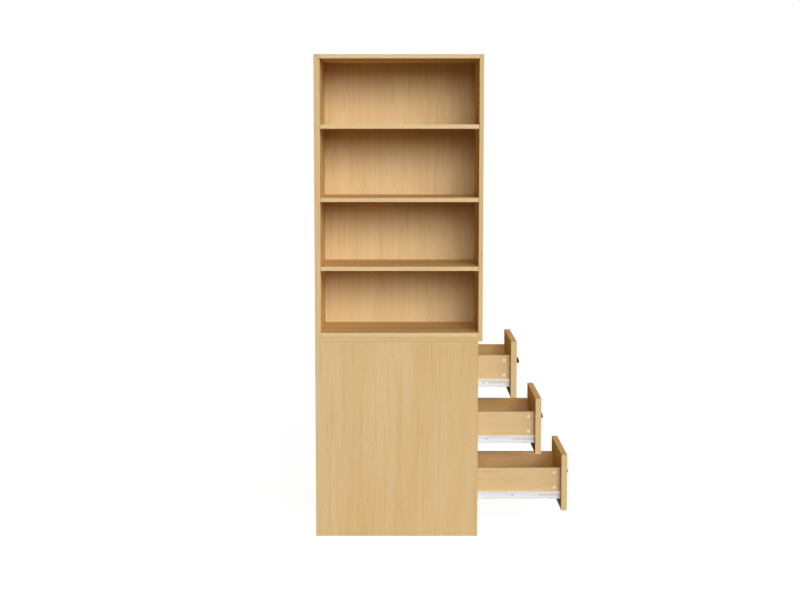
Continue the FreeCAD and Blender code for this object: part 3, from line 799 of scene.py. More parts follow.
def rounded(shape: Shape, edges: Iterable, radius: float, segments: int) -> None:
    """Bevels some edges of a shape.

    Args:
        shape: The mesh that is changed.
        edges: The edges to round.
        radius: How far the bevel reaches from each edge.
        segments: Flats across the bevel.
    """
    bmesh.ops.bevel(
        shape,
        geom=list(edges),
        offset=radius,
        offset_type="OFFSET",
        segments=segments,
        profile=0.5,
        affect="EDGES",
        material=-1,
    )


def turned(outline: Sequence[Point], steps: int) -> Shape:
    """Spins an outline into a closed solid round Z.

    Args:
        outline: Radius and height of each corner, once round the section.
        steps: Facets in the full turn.

    Returns:
        The solid, with its axis on Z.
    """
    shape = bmesh.new()
    corners = [shape.verts.new((radius, 0.0, height)) for radius, height in outline]
    neighbours = zip(corners, corners[1:] + corners[:1])
    sides = [pair for pair in neighbours if any(corner.co.x for corner in pair)]
    edges = [shape.edges.new(side) for side in sides]
    bmesh.ops.spin(
        shape,
        geom=corners + edges,
        axis=(0, 0, 1),
        cent=(0, 0, 0),
        angle=FULL_TURN,
        steps=steps,
        use_merge=True,
    )
    bmesh.ops.remove_doubles(shape, verts=shape.verts, dist=WELD)
    bmesh.ops.recalc_face_normals(shape, faces=shape.faces)
    return shape


def domed(radius: float, low: float, rise: float, shares: Sequence[Point]) -> list[Point]:
    """The outline of a dome, from its rim in to the axis, by shares of its radius and rise."""
    return [(share * radius, low + level * rise) for share, level in shares]


def drawn(outline: Sequence[Point], length: float, *bends: Bend) -> Shape:
    """Draws a flat outline along X into a closed solid, and rounds its bends.

    Args:
        outline: The Y and Z of each corner, once round.
        length: How far it is drawn from X = 0.
        *bends: Numbers of corners in the outline, their radius and the flats across each.

    Returns:
        The solid.
    """
    shape = bmesh.new()
    face = shape.faces.new([shape.verts.new((0.0, y, z)) for y, z in outline])
    new = bmesh.ops.extrude_face_region(shape, geom=[face], use_keep_orig=True)["geom"]
    far_end = [item for item in new if isinstance(item, bmesh.types.BMVert)]
    bmesh.ops.translate(shape, vec=(length, 0, 0), verts=far_end)
    bmesh.ops.recalc_face_normals(shape, faces=shape.faces)
    for corners, radius, flats in bends:
        places = [outline[corner] for corner in corners]
        rounded(shape, long_edges(shape, places), radius, flats)
    return shape


def long_edges(shape: Shape, corners: Iterable[Point]) -> list:
    """Finds the edges along X that pass through some corners of a drawn outline.

    Args:
        shape: The drawn shape.
        corners: The Y and Z of each corner.

    Returns:
        The edges.
    """
    found = []
    for edge in shape.edges:
        first, second = (vert.co for vert in edge.verts)
        if math.hypot(first.y - second.y, first.z - second.z) < TOUCHING and any(
            math.hypot(first.y - y, first.z - z) < TOUCHING for y, z in corners
        ):
            found.append(edge)
    return found


def stadium(radius: float, spread: float, depth: float, steps: int = 24) -> Shape:
    """Makes a round-ended bar along X, or a plain round one, centred on the origin.

    Args:
        radius: Radius of its ends.
        spread: From one end's centre to the other's.
        depth: How deep it is along Z.
        steps: Facets of the two ends together.

    Returns:
        The bar.
    """
    shape = bmesh.new()
    bmesh.ops.create_cone(
        shape, cap_ends=True, segments=steps, radius1=radius, radius2=radius, depth=depth
    )
    right = [vert for vert in shape.verts if vert.co.x > TOUCHING]
    left = [vert for vert in shape.verts if vert.co.x <= TOUCHING]
    bmesh.ops.translate(shape, vec=(spread / 2, 0, 0), verts=right)
    bmesh.ops.translate(shape, vec=(-spread / 2, 0, 0), verts=left)
    return shape


def moved(shape: Shape, matrix: Matrix) -> Shape:
    """Moves a whole shape, and turns its faces out again where the move mirrors it.

    Args:
        shape: The shape, which is changed.
        matrix: The move.

    Returns:
        The same shape.
    """
    bmesh.ops.transform(shape, matrix=matrix, verts=shape.verts)
    if matrix.determinant() < 0:
        bmesh.ops.reverse_faces(shape, faces=shape.faces)
    return shape


def along_x(place: Vector) -> Matrix:
    """Turns Z onto X, and puts the origin at a place."""
    return Matrix.Translation(place) @ Euler((0, QUARTER_TURN, 0)).to_matrix().to_4x4()


def along_y(place: Vector, way: int) -> Matrix:
    """Turns Z onto the way out along Y, and puts the origin at a place."""
    return Matrix.Translation(place) @ Euler((-way * QUARTER_TURN, 0, 0)).to_matrix().to_4x4()


def as_mesh(shape: Shape, name: str) -> bpy.types.Mesh:
    """Makes a mesh of a shape.

    Args:
        shape: The shape, which is freed.
        name: The mesh's name.

    Returns:
        The mesh.
    """
    mesh = bpy.data.meshes.new(name)
    shape.to_mesh(mesh)
    shape.free()
    return mesh


def added(name: str, data: bpy.types.ID) -> bpy.types.Object:
    """Adds an object to the scene.

    Args:
        name: The object's name.
        data: Its mesh, lamp or camera.

    Returns:
        The object.
    """
    item = bpy.data.objects.new(name, data)
    bpy.context.scene.collection.objects.link(item)
    return item


def gathered(shapes: Iterable[Shape]) -> Shape:
    """Puts several shapes into one.

    Args:
        shapes: The shapes, which are freed.

    Returns:
        The whole.
    """
    whole = bmesh.new()
    for shape in shapes:
        mesh = as_mesh(shape, "part")
        whole.from_mesh(mesh)
        bpy.data.meshes.remove(mesh)
    return whole


def carved(shape: Shape, cutters: list[Shape], core_index: int = 0) -> Shape:
    """Cuts shapes out of another.

    Args:
        shape: The solid that is cut. It is freed where anything is cut.
        cutters: Closed solids to take away. They are freed.
        core_index: Material index of the faces that the cut lays bare.

    Returns:
        The solid that is left.
    """
    if not cutters:
        return shape
    tool = gathered(cutters)
    for face in tool.faces:
        face.material_index = core_index
    stock = added("stock", as_mesh(shape, "stock"))
    knife = added("knife", as_mesh(tool, "knife"))
    for _ in range(core_index + 1):
        stock.data.materials.append(None)
        knife.data.materials.append(None)
    cut = stock.modifiers.new("cut", "BOOLEAN")
    cut.operation, cut.solver, cut.object = "DIFFERENCE", "EXACT", knife
    result = stock.evaluated_get(bpy.context.evaluated_depsgraph_get())
    left = bmesh.new()
    left.from_mesh(result.to_mesh())
    result.to_mesh_clear()
    for mesh in (stock.data, knife.data):
        bpy.data.meshes.remove(mesh)
    return left


@dataclass
class Piece:
    """A finished visible piece, and the CAD node that it stands for.

    Attributes:
        name: The piece's name.
        body: The body that it rides on.
        slot: The record's slot that its finish belongs to. Not used.
        finishes: Its materials, by index.
        replaces: The nodes that it stands for.
        crease: Degrees from which an edge of a smooth piece stays sharp. 0 keeps all flat.
    """

    name: str
    body: str
    slot: Slot
    finishes: Sequence[Finish]
    replaces: Sequence[str] = ()
    crease: float = 0.0

    def place(self, *shapes: Shape) -> None:
        """Makes the object, gives it its finishes and fixes it to its body.

        Args:
            *shapes: What the piece is made of, in its place. They are freed.
        """
        shape = gathered(shapes) if len(shapes) > 1 else shapes[0]
        for face in shape.faces:
            face.smooth = self.crease > 0
        mesh = as_mesh(shape, self.name)
        if self.crease:
            mesh.set_sharp_from_angle(angle=math.radians(self.crease))
        for finish in self.finishes:
            mesh.materials.append(finish.material())
        piece = added(self.name, mesh)
        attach(piece, self.body)
        if self.replaces:
            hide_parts(*self.replaces)
        LOG.info("%-34s %6d faces", self.name, len(mesh.polygons))


def dress(node: str, finish: Finish) -> None:
    """Gives a CAD node's object a finish.

    Args:
        node: The node's name.
        finish: The finish for all of it.
    """
    for slot in frame["nodes"][node].material_slots:
        slot.material = finish.material()
    LOG.info("%-34s dressed in %s", node, finish.name)


# ------------------------------------------------------------------------------ boards
@dataclass
class Board:
    """A flat board: two printed faces, banded edges, and grooves for thin panels."""

    node: str
    slot: Slot
    seed: float
    tones: OakPrint = BOARD_PRINT
    body: str = "carcass"
    arris: float = 1.1 * MM
    arris_flats: int = 3
    band: Oak = PLAIN_BAND
    panels: Sequence[str] = ()
    slip: float = 0.2 * MM
    holes: Sequence[Shape] = ()

    FACE, EDGE_X, EDGE_Y, EDGE_Z, BARE = range(5)

    def build(self) -> None:
        """Makes the board in place of its CAD node."""
        box = Box.of(self.node)
        shape = box.mesh()
        self.paint_sides(shape, box)
        rounded(shape, shape.edges, self.arris, self.arris_flats)
        cutters = [Box.of(panel).grown(self.slip).mesh() for panel in self.panels]
        shape = carved(shape, cutters + list(self.holes), self.BARE)
        face = Oak(
            f"oak_{self.node}",
            BOARD_GRAIN[self.slot],
            self.seed,
            self.tones,
            centre=tuple(box.centre),
            half_size=tuple(box.size / 2),
        )
        finishes = [face, self.band, SHADED_CROSS_BAND, UPRIGHT_BAND, CORE]
        Piece(f"{self.node}_oak", self.body, self.slot, finishes, [self.node]).place(shape)

    def paint_sides(self, shape: Shape, box: Box) -> None:
        """Marks the banded edges, each with the band that runs along it.

        Args:
            shape: The board's six faces.
            box: The board's box.
        """
        sizes = list(box.size)
        thin = sizes.index(min(sizes))
        for face in shape.faces:
            across = max(range(3), key=lambda axis: abs(face.normal[axis]))
            if across == thin:
                face.material_index = self.FACE
            else:
                run = next(axis for axis in range(3) if axis not in (thin, across))
                face.material_index = self.EDGE_X + run


@dataclass
class Bookcase:
    """The open bookcase: sides, top, bottom, back, shelves and their supports."""

    soft_arris: float = 1.6 * MM
    back_arris: float = 0.4 * MM
    cam_radius: float = 7.6 * MM
    cam_depth: float = 12.8 * MM
    cam_reach: float = 24.0 * MM
    cam_inset: float = 50.0 * MM
    cam_steps: int = 40

    def build(self) -> None:
        """Makes every board of the bookcase, then the supports."""
        upright, level = Slot.OAK_UPRIGHT, Slot.OAK_LENGTHWISE
        grooved = {"panels": ["bookcase_back"]}
        soft = {"arris": self.soft_arris, "band": LIGHT_BAND, **grooved}
        # The sides, the bottom and the shelves take the painted-shade print, which paints the shade
        # inside the compartments.
        Board("bookcase_left_side", upright, 1.0, PAINTED_SHADE_PRINT, **grooved).build()
        Board("bookcase_right_side", upright, 2.0, PAINTED_SHADE_PRINT, **grooved).build()
        Board("bookcase_bottom", level, 3.0, PAINTED_SHADE_PRINT, **soft).build()
        Board("bookcase_top", level, 4.0, holes=self.cam_holes(), **soft).build()
        Board("bookcase_back", upright, 5.0, PALE_PRINT, arris=self.back_arris).build()
        for seed, shelf in enumerate(SHELVES, 11):
            Board(shelf, level, seed, PAINTED_SHADE_PRINT, band=LIGHT_BAND).build()
        ShelfSupports().build()

    def cam_holes(self) -> list[Shape]:
        """Makes cutters for the cams' holes in the upper face of the top.

        Returns:
            The cutters.
        """
        top, back = Box.of("bookcase_top"), Box.of("bookcase_back")
        cutters = []
        for x in (top.low.x + self.cam_reach, top.high.x - self.cam_reach):
            for y in (top.low.y + self.cam_inset, back.low.y - self.cam_inset):
                cutter = stadium(self.cam_radius, 0.0, 2 * self.cam_depth, self.cam_steps)
                cutters.append(moved(cutter, Matrix.Translation((x, y, top.high.z))))
        return cutters


@dataclass
class ShelfSupports:
    """Bent plates with a pin, four to a shelf."""

    plate: float = 1.5 * MM
    leg: float = 8.0 * MM
    width: float = 10.0 * MM
    outer_bend: float = 1.2 * MM
    inner_bend: float = 0.6 * MM
    outer_flats: int = 3
    inner_flats: int = 2
    corner: float = 2.0 * MM
    pin_radius: float = 2.5 * MM
    pin_depth: float = 8.0 * MM
    pin_chamfer: float = 0.5 * MM
    pin_steps: int = 16
    inset: float = 50.0 * MM

    def build(self) -> None:
        """Makes all the supports as one piece."""
        sides = (
            (Box.of("bookcase_left_side").high.x, 1),
            (Box.of("bookcase_right_side").low.x, -1),
        )
        supports = []
        for shelf in map(Box.of, SHELVES):
            for plane, inward in sides:
                for y in (shelf.low.y + self.inset, shelf.high.y - self.inset):
                    place = Matrix.Translation((plane, y, shelf.low.z))
                    matrix = place @ Matrix.Diagonal((inward, 1, 1, 1))
                    supports.append(moved(self.support(), matrix))
        name = "shelf_supports"
        piece = Piece(f"{name}_bent", "carcass", Slot.ZINC, [ZINC], [name], crease=35.0)
        piece.place(*supports)

    def support(self) -> Shape:
        """Makes one support at the origin, its ledge towards +X and its pin towards -X.

        Returns:
            The support.
        """
        thick, leg = self.plate, self.leg
        outline = [(0, 0), (0, -leg), (thick, -leg), (thick, -thick), (leg, -thick), (leg, 0)]
        bends = ([0], self.outer_bend, self.outer_flats), ([3], self.inner_bend, self.inner_flats)
        shape = drawn(outline, self.width, *bends)
        corners = [edge for edge in shape.edges if self.at_free_corner(edge)]
        rounded(shape, corners, self.corner, self.outer_flats)
        swap = Matrix(((0, 1, 0, 0), (1, 0, 0, -self.width / 2), (0, 0, 1, 0), (0, 0, 0, 1)))
        moved(shape, swap)
        pin = stadium(self.pin_radius, 0.0, self.pin_depth + thick, self.pin_steps)
        rounded(pin, [edge for edge in pin.edges if self.is_rim(edge)], self.pin_chamfer, 1)
        middle = Vector(((thick - self.pin_depth) / 2, 0.0, -(leg + thick) / 2))
        return gathered([shape, moved(pin, along_x(middle))])

    def at_free_corner(self, edge: bmesh.types.BMEdge) -> bool:
        """Tells whether an edge crosses the plate's thickness at the end of the leg or ledge.

        Args:
            edge: An edge of the bent plate, before it is turned.

        Returns:
            True for the four edges at free corners.
        """
        ends = [vert.co for vert in edge.verts]
        across = ends[0] - ends[1]
        short = abs(across.length - self.plate) < TOUCHING
        far = all(co.y > self.leg - TOUCHING or co.z < TOUCHING - self.leg for co in ends)
        return short and far and abs(across.x) < TOUCHING

    @staticmethod
    def is_rim(edge: bmesh.types.BMEdge) -> bool:
        """Whether an edge lies round the end of a pin that stands on Z."""
        return abs(edge.verts[0].co.z - edge.verts[1].co.z) < TOUCHING


@dataclass
class Chest:
    """The boards of the chest that the drawers slide in."""

    soft_arris: float = 1.6 * MM

    def build(self) -> None:
        """Makes the six boards."""
        upright, level = Slot.OAK_UPRIGHT, Slot.OAK_LENGTHWISE
        Board("chest_top", level, 21.0, arris=self.soft_arris).build()
        Board("chest_face_panel", upright, 22.0, STRIPED_PRINT).build()
        Board("chest_rear_panel", upright, 23.0).build()
        Board("chest_end_panel", upright, 24.0).build()
        Board("chest_bottom", level, 25.0).build()
        Board("chest_plinth", Slot.OAK_CROSSWISE, 26.0).build()


# ----------------------------------------------------------------------------- runners
@dataclass(frozen=True)
class RunnerSizes:
    """Sizes that the two members of a roller runner share."""

    gap: float = 12.5 * MM
    steel: float = 1.2 * MM
    inner_bend: float = 0.4 * MM
    outer_flats: int = 4
    inner_flats: int = 2
    height: float = 28.8 * MM
    hook_to_web: float = 1.0 * MM
    hook_drop: float = 5.0 * MM
    hook_to_channel: float = 0.5 * MM
    channel_to_web: float = 0.8 * MM
    roller_radius: float = 9.0 * MM
    roller_play: float = 0.3 * MM
    side_play: float = 0.55 * MM
    roller_inset: float = 12.0 * MM
    shoulder: float = 5.0 * MM
    axle_radius: float = 2.5 * MM
    axle_play: float = 0.05 * MM
    head_radius: float = 4.0 * MM
    head_height: float = 1.0 * MM
    head_play: float = 0.4 * MM
    stop_height: float = 6.0 * MM
    stop_arris: float = 0.3 * MM

    @property
    def outer_bend(self) -> float:
        """Radius of the outer side of a bend."""
        return self.inner_bend + self.steel

    @property
    def web(self) -> float:
        """Drawer side to the cabinet member's web."""
        return self.gap - self.steel

    @property
    def mouth(self) -> float:
        """Drawer side to the open edges of the cabinet member."""
        return self.steel + self.channel_to_web

    @property
    def hook_reach(self) -> float:
        """Drawer side to the outer face of the drawer member's lip."""
        return self.web - self.hook_to_web

    @property
    def channel_top(self) -> float:
        """Lower edge of the drawer side to the top of the cabinet member."""
        return self.height - self.hook_drop - self.hook_to_channel

    @property
    def channel_floor(self) -> float:
        """Lower edge of the drawer side to the track of the rear roller."""
        return self.channel_top - self.steel - 2 * (self.roller_radius + self.roller_play)

    @property
    def rear_roller_height(self) -> float:
        """Lower edge of the drawer side to the axle of the drawer's roller."""
        return self.channel_floor + self.roller_play + self.roller_radius

    @property
    def front_roller_height(self) -> float:
        """Lower edge of the drawer side to the axle of the cabinet's roller."""
        return self.height - self.steel - self.roller_play - self.roller_radius

    @property
    def roller_near(self) -> float:
        """Drawer side to the near face of a roller."""
        return self.steel + self.side_play

    @property
    def roller_far(self) -> float:
        """Drawer side to the far face of a roller."""
        return self.hook_reach - self.steel - self.side_play


RUNNER = RunnerSizes()


@dataclass(frozen=True)
class DrawerSide:
    """Where one flank of a drawer's box is."""

    flank: Flank
    box: Box

    def point(self, x: float, distance: float, height: float) -> Vector:
        """A point at a distance out from the side and a height above its lower edge."""
        face = self.box.low.y if self.flank is Flank.LEFT else self.box.high.y
        return Vector((x, face + self.flank.value * distance, self.box.low.z + height))

    def laid(self, x: float) -> Matrix:
        """Takes distance out as Y and height as Z, from a starting X."""
        place = Matrix.Translation(self.point(x, 0.0, 0.0))
        return place @ Matrix.Diagonal((1, self.flank.value, 1, 1))


@dataclass
class DrawerPart:
    """Something that belongs to a numbered drawer."""

    number: int

    @property
    def body(self) -> str:
        """The drawer's body, whose name its nodes start with."""
        return f"drawer_{self.number}"

    def side(self, flank: Flank) -> DrawerSide:
        """The drawer's side on one flank."""
        return DrawerSide(flank, Box.of(f"{self.body}_{flank.word}_side"))

    def travel_left(self) -> float:
        """How much further the drawer slides out from where it rests."""
        slide = next(joint for joint in frame["joints"] if joint["name"] == f"{self.body}_slide")
        return slide["range_m"][1]


@dataclass
class Axle:
    """A rivet with a domed head, and the roller that turns on it."""

    sizes: RunnerSizes = RUNNER
    steps: int = 32
    chamfer: float = 0.5 * MM
    ring_in: float = 5.4 * MM
    ring_out: float = 7.6 * MM
    ring_depth: float = 0.6 * MM
    dome: Sequence[Point] = ((1.0, 0.0), (1.0, 0.5), (0.85, 0.85), (0.5, 1.0), (0.0, 1.0))

    def rivet(self, length: float) -> Shape:
        """Makes the rivet from its root at the origin up along Z, head last.

        Args:
            length: From the root to the top of the head.

        Returns:
            The rivet.
        """
        s = self.sizes
        under = length - s.head_height
        shank = [(0, 0), (s.axle_radius, 0), (s.axle_radius, under)]
        head = domed(s.head_radius, under, s.head_height, self.dome)
        return turned(shank + head, self.steps)

    def roller(self) -> Shape:
        """Makes the roller on Z: chamfered tread, recess for the head and ring grooves.

        Returns:
            The roller.
        """
        s = self.sizes
        width = s.roller_far - s.roller_near
        bore = s.axle_radius + s.axle_play
        recess = s.head_radius + s.head_play
        floor = width - s.head_height - s.head_play
        tread, chamfer, deep = s.roller_radius, self.chamfer, self.ring_depth
        inner, outer = self.ring_in, self.ring_out
        flank = [(inner, 0), (inner + deep / 2, deep), (outer - deep / 2, deep), (outer, 0)]
        flank += [(tread - chamfer, 0), (tread, chamfer)]
        far_flank = [(radius, width - height) for radius, height in reversed(flank)]
        hub = [(recess, width), (recess, floor), (bore, floor)]
        return turned([(bore, 0), *flank, *far_flank, *hub], 2 * self.steps)


@dataclass
class DrawerRunner(DrawerPart):
    """The member screwed to a drawer: foot, web with its holes, hooked top and rear axle."""

    flank: Flank
    sizes: RunnerSizes = RUNNER
    foot_setback: float = 1.0 * MM
    hole_drop: float = 15.0 * MM
    slot_start: float = 3.0 * MM
    slot_end: float = 85.0 * MM
    slot_radius: float = 1.75 * MM
    oval_at: float = 100.5 * MM
    oval_length: float = 9.0 * MM
    oval_radius: float = 2.25 * MM
    round_at: float = 183.0 * MM
    round_radius: float = 2.6 * MM
    through_steel: float = 7.2 * MM
    pilot_radius: float = 2.5 * MM
    pilot_depth: float = 8.0 * MM

    @property
    def hole_height(self) -> float:
        """Lower edge of the drawer side to the middle of the holes."""
        return self.sizes.height - self.hole_drop

    def build(self) -> None:
        """Folds the steel, cuts its holes and adds the axle."""
        s = self.sizes
        node = f"{self.body}_{self.flank.word}_runner"
        span = Box.of(node)
        side = self.side(self.flank)
        foot = side.box.size.y - self.foot_setback
        under, lip, lip_end = s.height - s.steel, s.hook_reach - s.steel, s.height - s.hook_drop
        outline = [(-foot, -s.steel), (s.steel, -s.steel), (s.steel, under), (lip, under)]
        outline += [(lip, lip_end), (s.hook_reach, lip_end), (s.hook_reach, s.height)]
        outline += [(0.0, s.height), (0.0, 0.0), (-foot, 0.0)]
        outside = ([1, 6, 7], s.outer_bend, s.outer_flats)
        inside = ([2, 3, 8], s.inner_bend, s.inner_flats)
        shape = drawn(outline, span.size.x, outside, inside)
        shape = carved(shape, self.holes(side.box.high.x - span.low.x))
        moved(shape, side.laid(span.low.x))
        root = side.point(span.low.x + s.roller_inset, s.steel, s.rear_roller_height)
        rivet = moved(Axle().rivet(s.roller_far - s.steel), along_y(root, self.flank.value))
        piece = Piece(f"{node}_folded", self.body, Slot.WHITE_STEEL, [WHITE_COAT], [node])
        piece.place(shape, rivet)

    def pilot_hole(self) -> Shape:
        """Makes the cutter for the screw hole in the drawer side, behind the round hole.

        Returns:
            The cutter.
        """
        side = self.side(self.flank)
        place = side.point(side.box.high.x - self.round_at, 0.0, self.hole_height)
        return moved(stadium(self.pilot_radius, 0.0, 2 * self.pilot_depth), along_y(place, 1))

    def holes(self, front: float) -> list[Shape]:
        """Makes cutters for the long slot, the oval hole and the round hole.

        Args:
            front: The drawer front's inner face, from the runner's rear end.

        Returns:
            The cutters, where the runner's rear end is at X = 0.
        """
        middle = front - (self.slot_start + self.slot_end) / 2
        slot_spread = self.slot_end - self.slot_start - 2 * self.slot_radius
        cuts = (
            (middle, self.slot_radius, slot_spread),
            (front - self.oval_at, self.oval_radius, self.oval_length - 2 * self.oval_radius),
            (front - self.round_at, self.round_radius, 0.0),
        )
        cutters = []
        for x, radius, spread in cuts:
            place = along_y(Vector((x, 0.0, self.hole_height)), 1)
            cutters.append(moved(stadium(radius, spread, self.through_steel), place))
        return cutters


@dataclass
class WebScrews(DrawerPart):
    """The countersunk screw in the oval hole of each of a drawer's runners."""

    head_radius: float = 3.6 * MM
    head_height: float = 1.45 * MM
    crown: float = 0.35 * MM
    recess_reach: float = 1.7 * MM
    recess_width: float = 0.6 * MM
    recess_depth: float = 0.9 * MM
    dome: Sequence[Point] = ((1.0, 0.0), (0.9, 0.6), (0.6, 0.9), (0.0, 1.0))
    steps: int = 24

    def build(self) -> None:
        """Makes the drawer's two screw heads as one piece."""
        heads = []
        for flank in Flank:
            runner, side = DrawerRunner(self.number, flank), self.side(flank)
            place = side.point(side.box.high.x - runner.oval_at, 0.0, runner.hole_height)
            heads.append(moved(self.head(), along_y(place, flank.value)))
        name = f"{self.body}_web_screws"
        Piece(name, self.body, Slot.ZINC, [ZINC], crease=25.0).place(*heads)

    def head(self) -> Shape:
        """Makes one low head on Z, with a cross recess cut one arm after the other.

        Returns:
            The head.
        """
        radius, height = self.head_radius, self.head_height
        top = domed(radius, height - self.crown, self.crown, self.dome)
        head = turned([(0, 0), (radius, 0), *top], self.steps)
        reach = Vector((self.recess_reach, self.recess_width / 2, self.recess_depth))
        for turn in (0.0, QUARTER_TURN):
            arm = Box(-reach, reach).mesh()
            moved(arm, Matrix.Translation((0, 0, height)) @ Matrix.Rotation(turn, 4, "Z"))
            head = carved(head, [arm])
        return head


@dataclass
class CabinetRunners:
    """The three channels that are screwed to one chest board."""

    flank: Flank
    sizes: RunnerSizes = RUNNER

    def build(self) -> None:
        """Makes the channels of one flank as one piece."""
        node = f"cabinet_runners_{self.flank.word}"
        span = Box.of(node)
        shapes = [shape for number in DRAWERS for shape in self.channel(number, span)]
        piece = Piece(f"{node}_folded", "carcass", Slot.WHITE_STEEL, [WHITE_COAT], [node])
        piece.place(*shapes)

    def channel(self, number: int, span: Box) -> list[Shape]:
        """Makes one channel with its stop and its axle.

        Args:
            number: The drawer that runs in it.
            span: The box of all the channels on this flank.

        Returns:
            The channel, the stop and the rivet.
        """
        s, drawer = self.sizes, DrawerPart(number)
        side = drawer.side(self.flank)
        low, high = s.channel_floor - s.steel, s.channel_top
        ceiling, floor = high - s.steel, low + s.steel
        outline = [(s.mouth, low), (s.gap, low), (s.gap, high), (s.mouth, high)]
        outline += [(s.mouth, ceiling), (s.web, ceiling), (s.web, floor), (s.mouth, floor)]
        outside = ([1, 2], s.outer_bend, s.outer_flats)
        inside = ([5, 6], s.inner_bend, s.inner_flats)
        shape = drawn(outline, span.size.x, outside, inside)
        notch_start = span.size.x - s.roller_inset - s.roller_radius - s.shoulder
        notch = Box(
            Vector((notch_start, 0.0, high - s.outer_bend)),
            Vector((span.size.x + s.steel, s.web - s.inner_bend, high + s.steel)),
        )
        shape = carved(shape, [notch.mesh()])
        moved(shape, side.laid(span.low.x))
        root = side.point(span.high.x - s.roller_inset, s.web, s.front_roller_height)
        rivet = moved(Axle().rivet(s.web - s.roller_near), along_y(root, -self.flank.value))
        return [shape, self.stop(side, drawer.travel_left()), rivet]

    def stop(self, side: DrawerSide, travel_left: float) -> Shape:
        """Makes the tab that the drawer's roller meets at full travel.

        Args:
            side: The drawer's side on this flank.
            travel_left: How much further the drawer slides out.

        Returns:
            The tab.
        """
        s = self.sizes
        x = side.box.low.x + travel_left + s.roller_inset + s.roller_radius + s.roller_play
        low, high = s.channel_floor - s.steel, s.channel_floor + s.stop_height
        tab = Box(Vector((x, s.mouth, low)), Vector((x + s.steel, s.web, high))).mesh()
        rounded(tab, tab.edges, s.stop_arris, 1)
        return moved(tab, side.laid(0.0))


@dataclass
class Rollers(DrawerPart):
    """The pair of rollers on a drawer's rear axles, or on the cabinet's front ones."""

    on_drawer: bool
    sizes: RunnerSizes = RUNNER

    def build(self) -> None:
        """Makes both rollers as one piece."""
        s = self.sizes
        if self.on_drawer:
            node, way = f"{self.body}_rollers", 1
            start, height = s.roller_near, s.rear_roller_height
        else:
            node, way = f"cabinet_rollers_{self.number}", -1
            start, height = s.roller_far, s.front_roller_height
        centre = Box.of(node).centre
        shapes = []
        for flank in Flank:
            place = self.side(flank).point(centre.x, start, height)
            shapes.append(moved(Axle().roller(), along_y(place, way * flank.value)))
        Piece(f"{node}_turned", node, Slot.NYLON, [NYLON], [node], crease=30.0).place(*shapes)


# ----------------------------------------------------------------------------- drawers
@dataclass
class Pull(DrawerPart):
    """A cup pull: a quarter of an ellipsoid shell, open below, with a post for its screw."""

    wall: float = 2.2 * MM
    lip: float = 0.5 * MM
    mouth_depth: float = 0.1 * MM
    mouth_normal: float = 0.9
    post_radius: float = 4.0 * MM
    post_height: float = 17.0 * MM
    post_steps: int = 32
    steps: int = 64

    def build(self) -> None:
        """Shapes the shell and its post, and puts them against the drawer's front."""
        node = f"{self.body}_pull"
        seat = Box.of(node)
        corner = Vector((seat.low.x, seat.centre.y, seat.low.z))
        shell = moved(self.shell(seat.size), Matrix.Translation(corner))
        rise = self.post_height / seat.size.z
        reach = seat.size.x * math.sqrt(1 - rise**2) - self.wall / 2
        post = stadium(self.post_radius, 0.0, reach, self.post_steps)
        moved(post, along_x(corner + Vector((reach / 2, 0.0, self.post_height))))
        piece = Piece(f"{node}_shell", self.body, Slot.BLACK, [BLACK_COAT], [node], crease=40.0)
        piece.place(shell, post)

    def shell(self, size: Vector) -> Shape:
        """Cuts a quarter from a sphere, stretches it and gives it a wall.

        Args:
            size: The shell's size.

        Returns:
            The shell, with its lower rear edge through the origin along Y.
        """
        shape = bmesh.new()
        bmesh.ops.create_uvsphere(
            shape, u_segments=self.steps, v_segments=self.steps // 2, radius=1.0
        )
        for normal in ((1, 0, 0), (0, 0, 1)):
            whole = shape.verts[:] + shape.edges[:] + shape.faces[:]
            bmesh.ops.bisect_plane(
                shape, geom=whole, plane_co=(0, 0, 0), plane_no=normal, clear_inner=True, dist=WELD
            )
        bmesh.ops.scale(shape, vec=(size.x, size.y / 2, size.z), verts=shape.verts)
        bmesh.ops.remove_doubles(shape, verts=shape.verts, dist=TOUCHING)
        bmesh.ops.recalc_face_normals(shape, faces=shape.faces)
        if sum((face.normal.x for face in shape.faces), 0.0) < 0:
            bmesh.ops.reverse_faces(shape, faces=shape.faces)
        bmesh.ops.solidify(shape, geom=shape.faces[:], thickness=self.wall)
        bmesh.ops.recalc_face_normals(shape, faces=shape.faces)
        rounded(shape, self.mouth_edges(shape), self.lip, 2)
        return shape

    def mouth_edges(self, shape: Shape) -> list:
        """Finds the two rims of the open underside.

        Args:
            shape: The shell, with its underside at Z = 0.

        Returns:
            The rims' edges.
        """
        low = [f for f in shape.faces if abs(f.calc_center_median().z) < self.mouth_depth]
        flat = [face for face in low if abs(face.normal.z) > self.mouth_normal]
        rims = {edge for face in flat for edge in face.edges}
        return [edge for edge in rims if sum(face in flat for face in edge.link_faces) == 1]


@dataclass
class CamCaps(DrawerPart):
    """Shallow domed caps over the cams in a drawer's sides."""

    cap_radius: float = 6.5 * MM
    cap_height: float = 0.8 * MM
    reach: float = 24.0 * MM
    drop: float = 18.5 * MM
    lift: float = 43.5 * MM
    dome: Sequence[Point] = ((1.0, 0.35), (0.96, 0.65), (0.85, 0.88), (0.6, 1.0), (0.0, 1.0))
    steps: int = 40

    def build(self) -> None:
        """Makes the drawer's caps as one piece."""
        top = domed(self.cap_radius, 0.0, self.cap_height, self.dome)
        outline = [(0, 0), (self.cap_radius, 0), *top]
        shapes = []
        for flank in Flank:
            side = self.side(flank)
            for level in (side.box.size.z - self.drop, self.lift):
                place = side.point(side.box.high.x - self.reach, 0.0, level)
                cap = turned(outline, self.steps)
                shapes.append(moved(cap, along_y(place, flank.value)))
        node = f"{self.body}_cam_caps"
        finishes = [PALE_PLASTIC]
        piece = Piece(f"{node}_domed", self.body, Slot.PALE_PLASTIC, finishes, [node], crease=40.0)
        piece.place(*shapes)


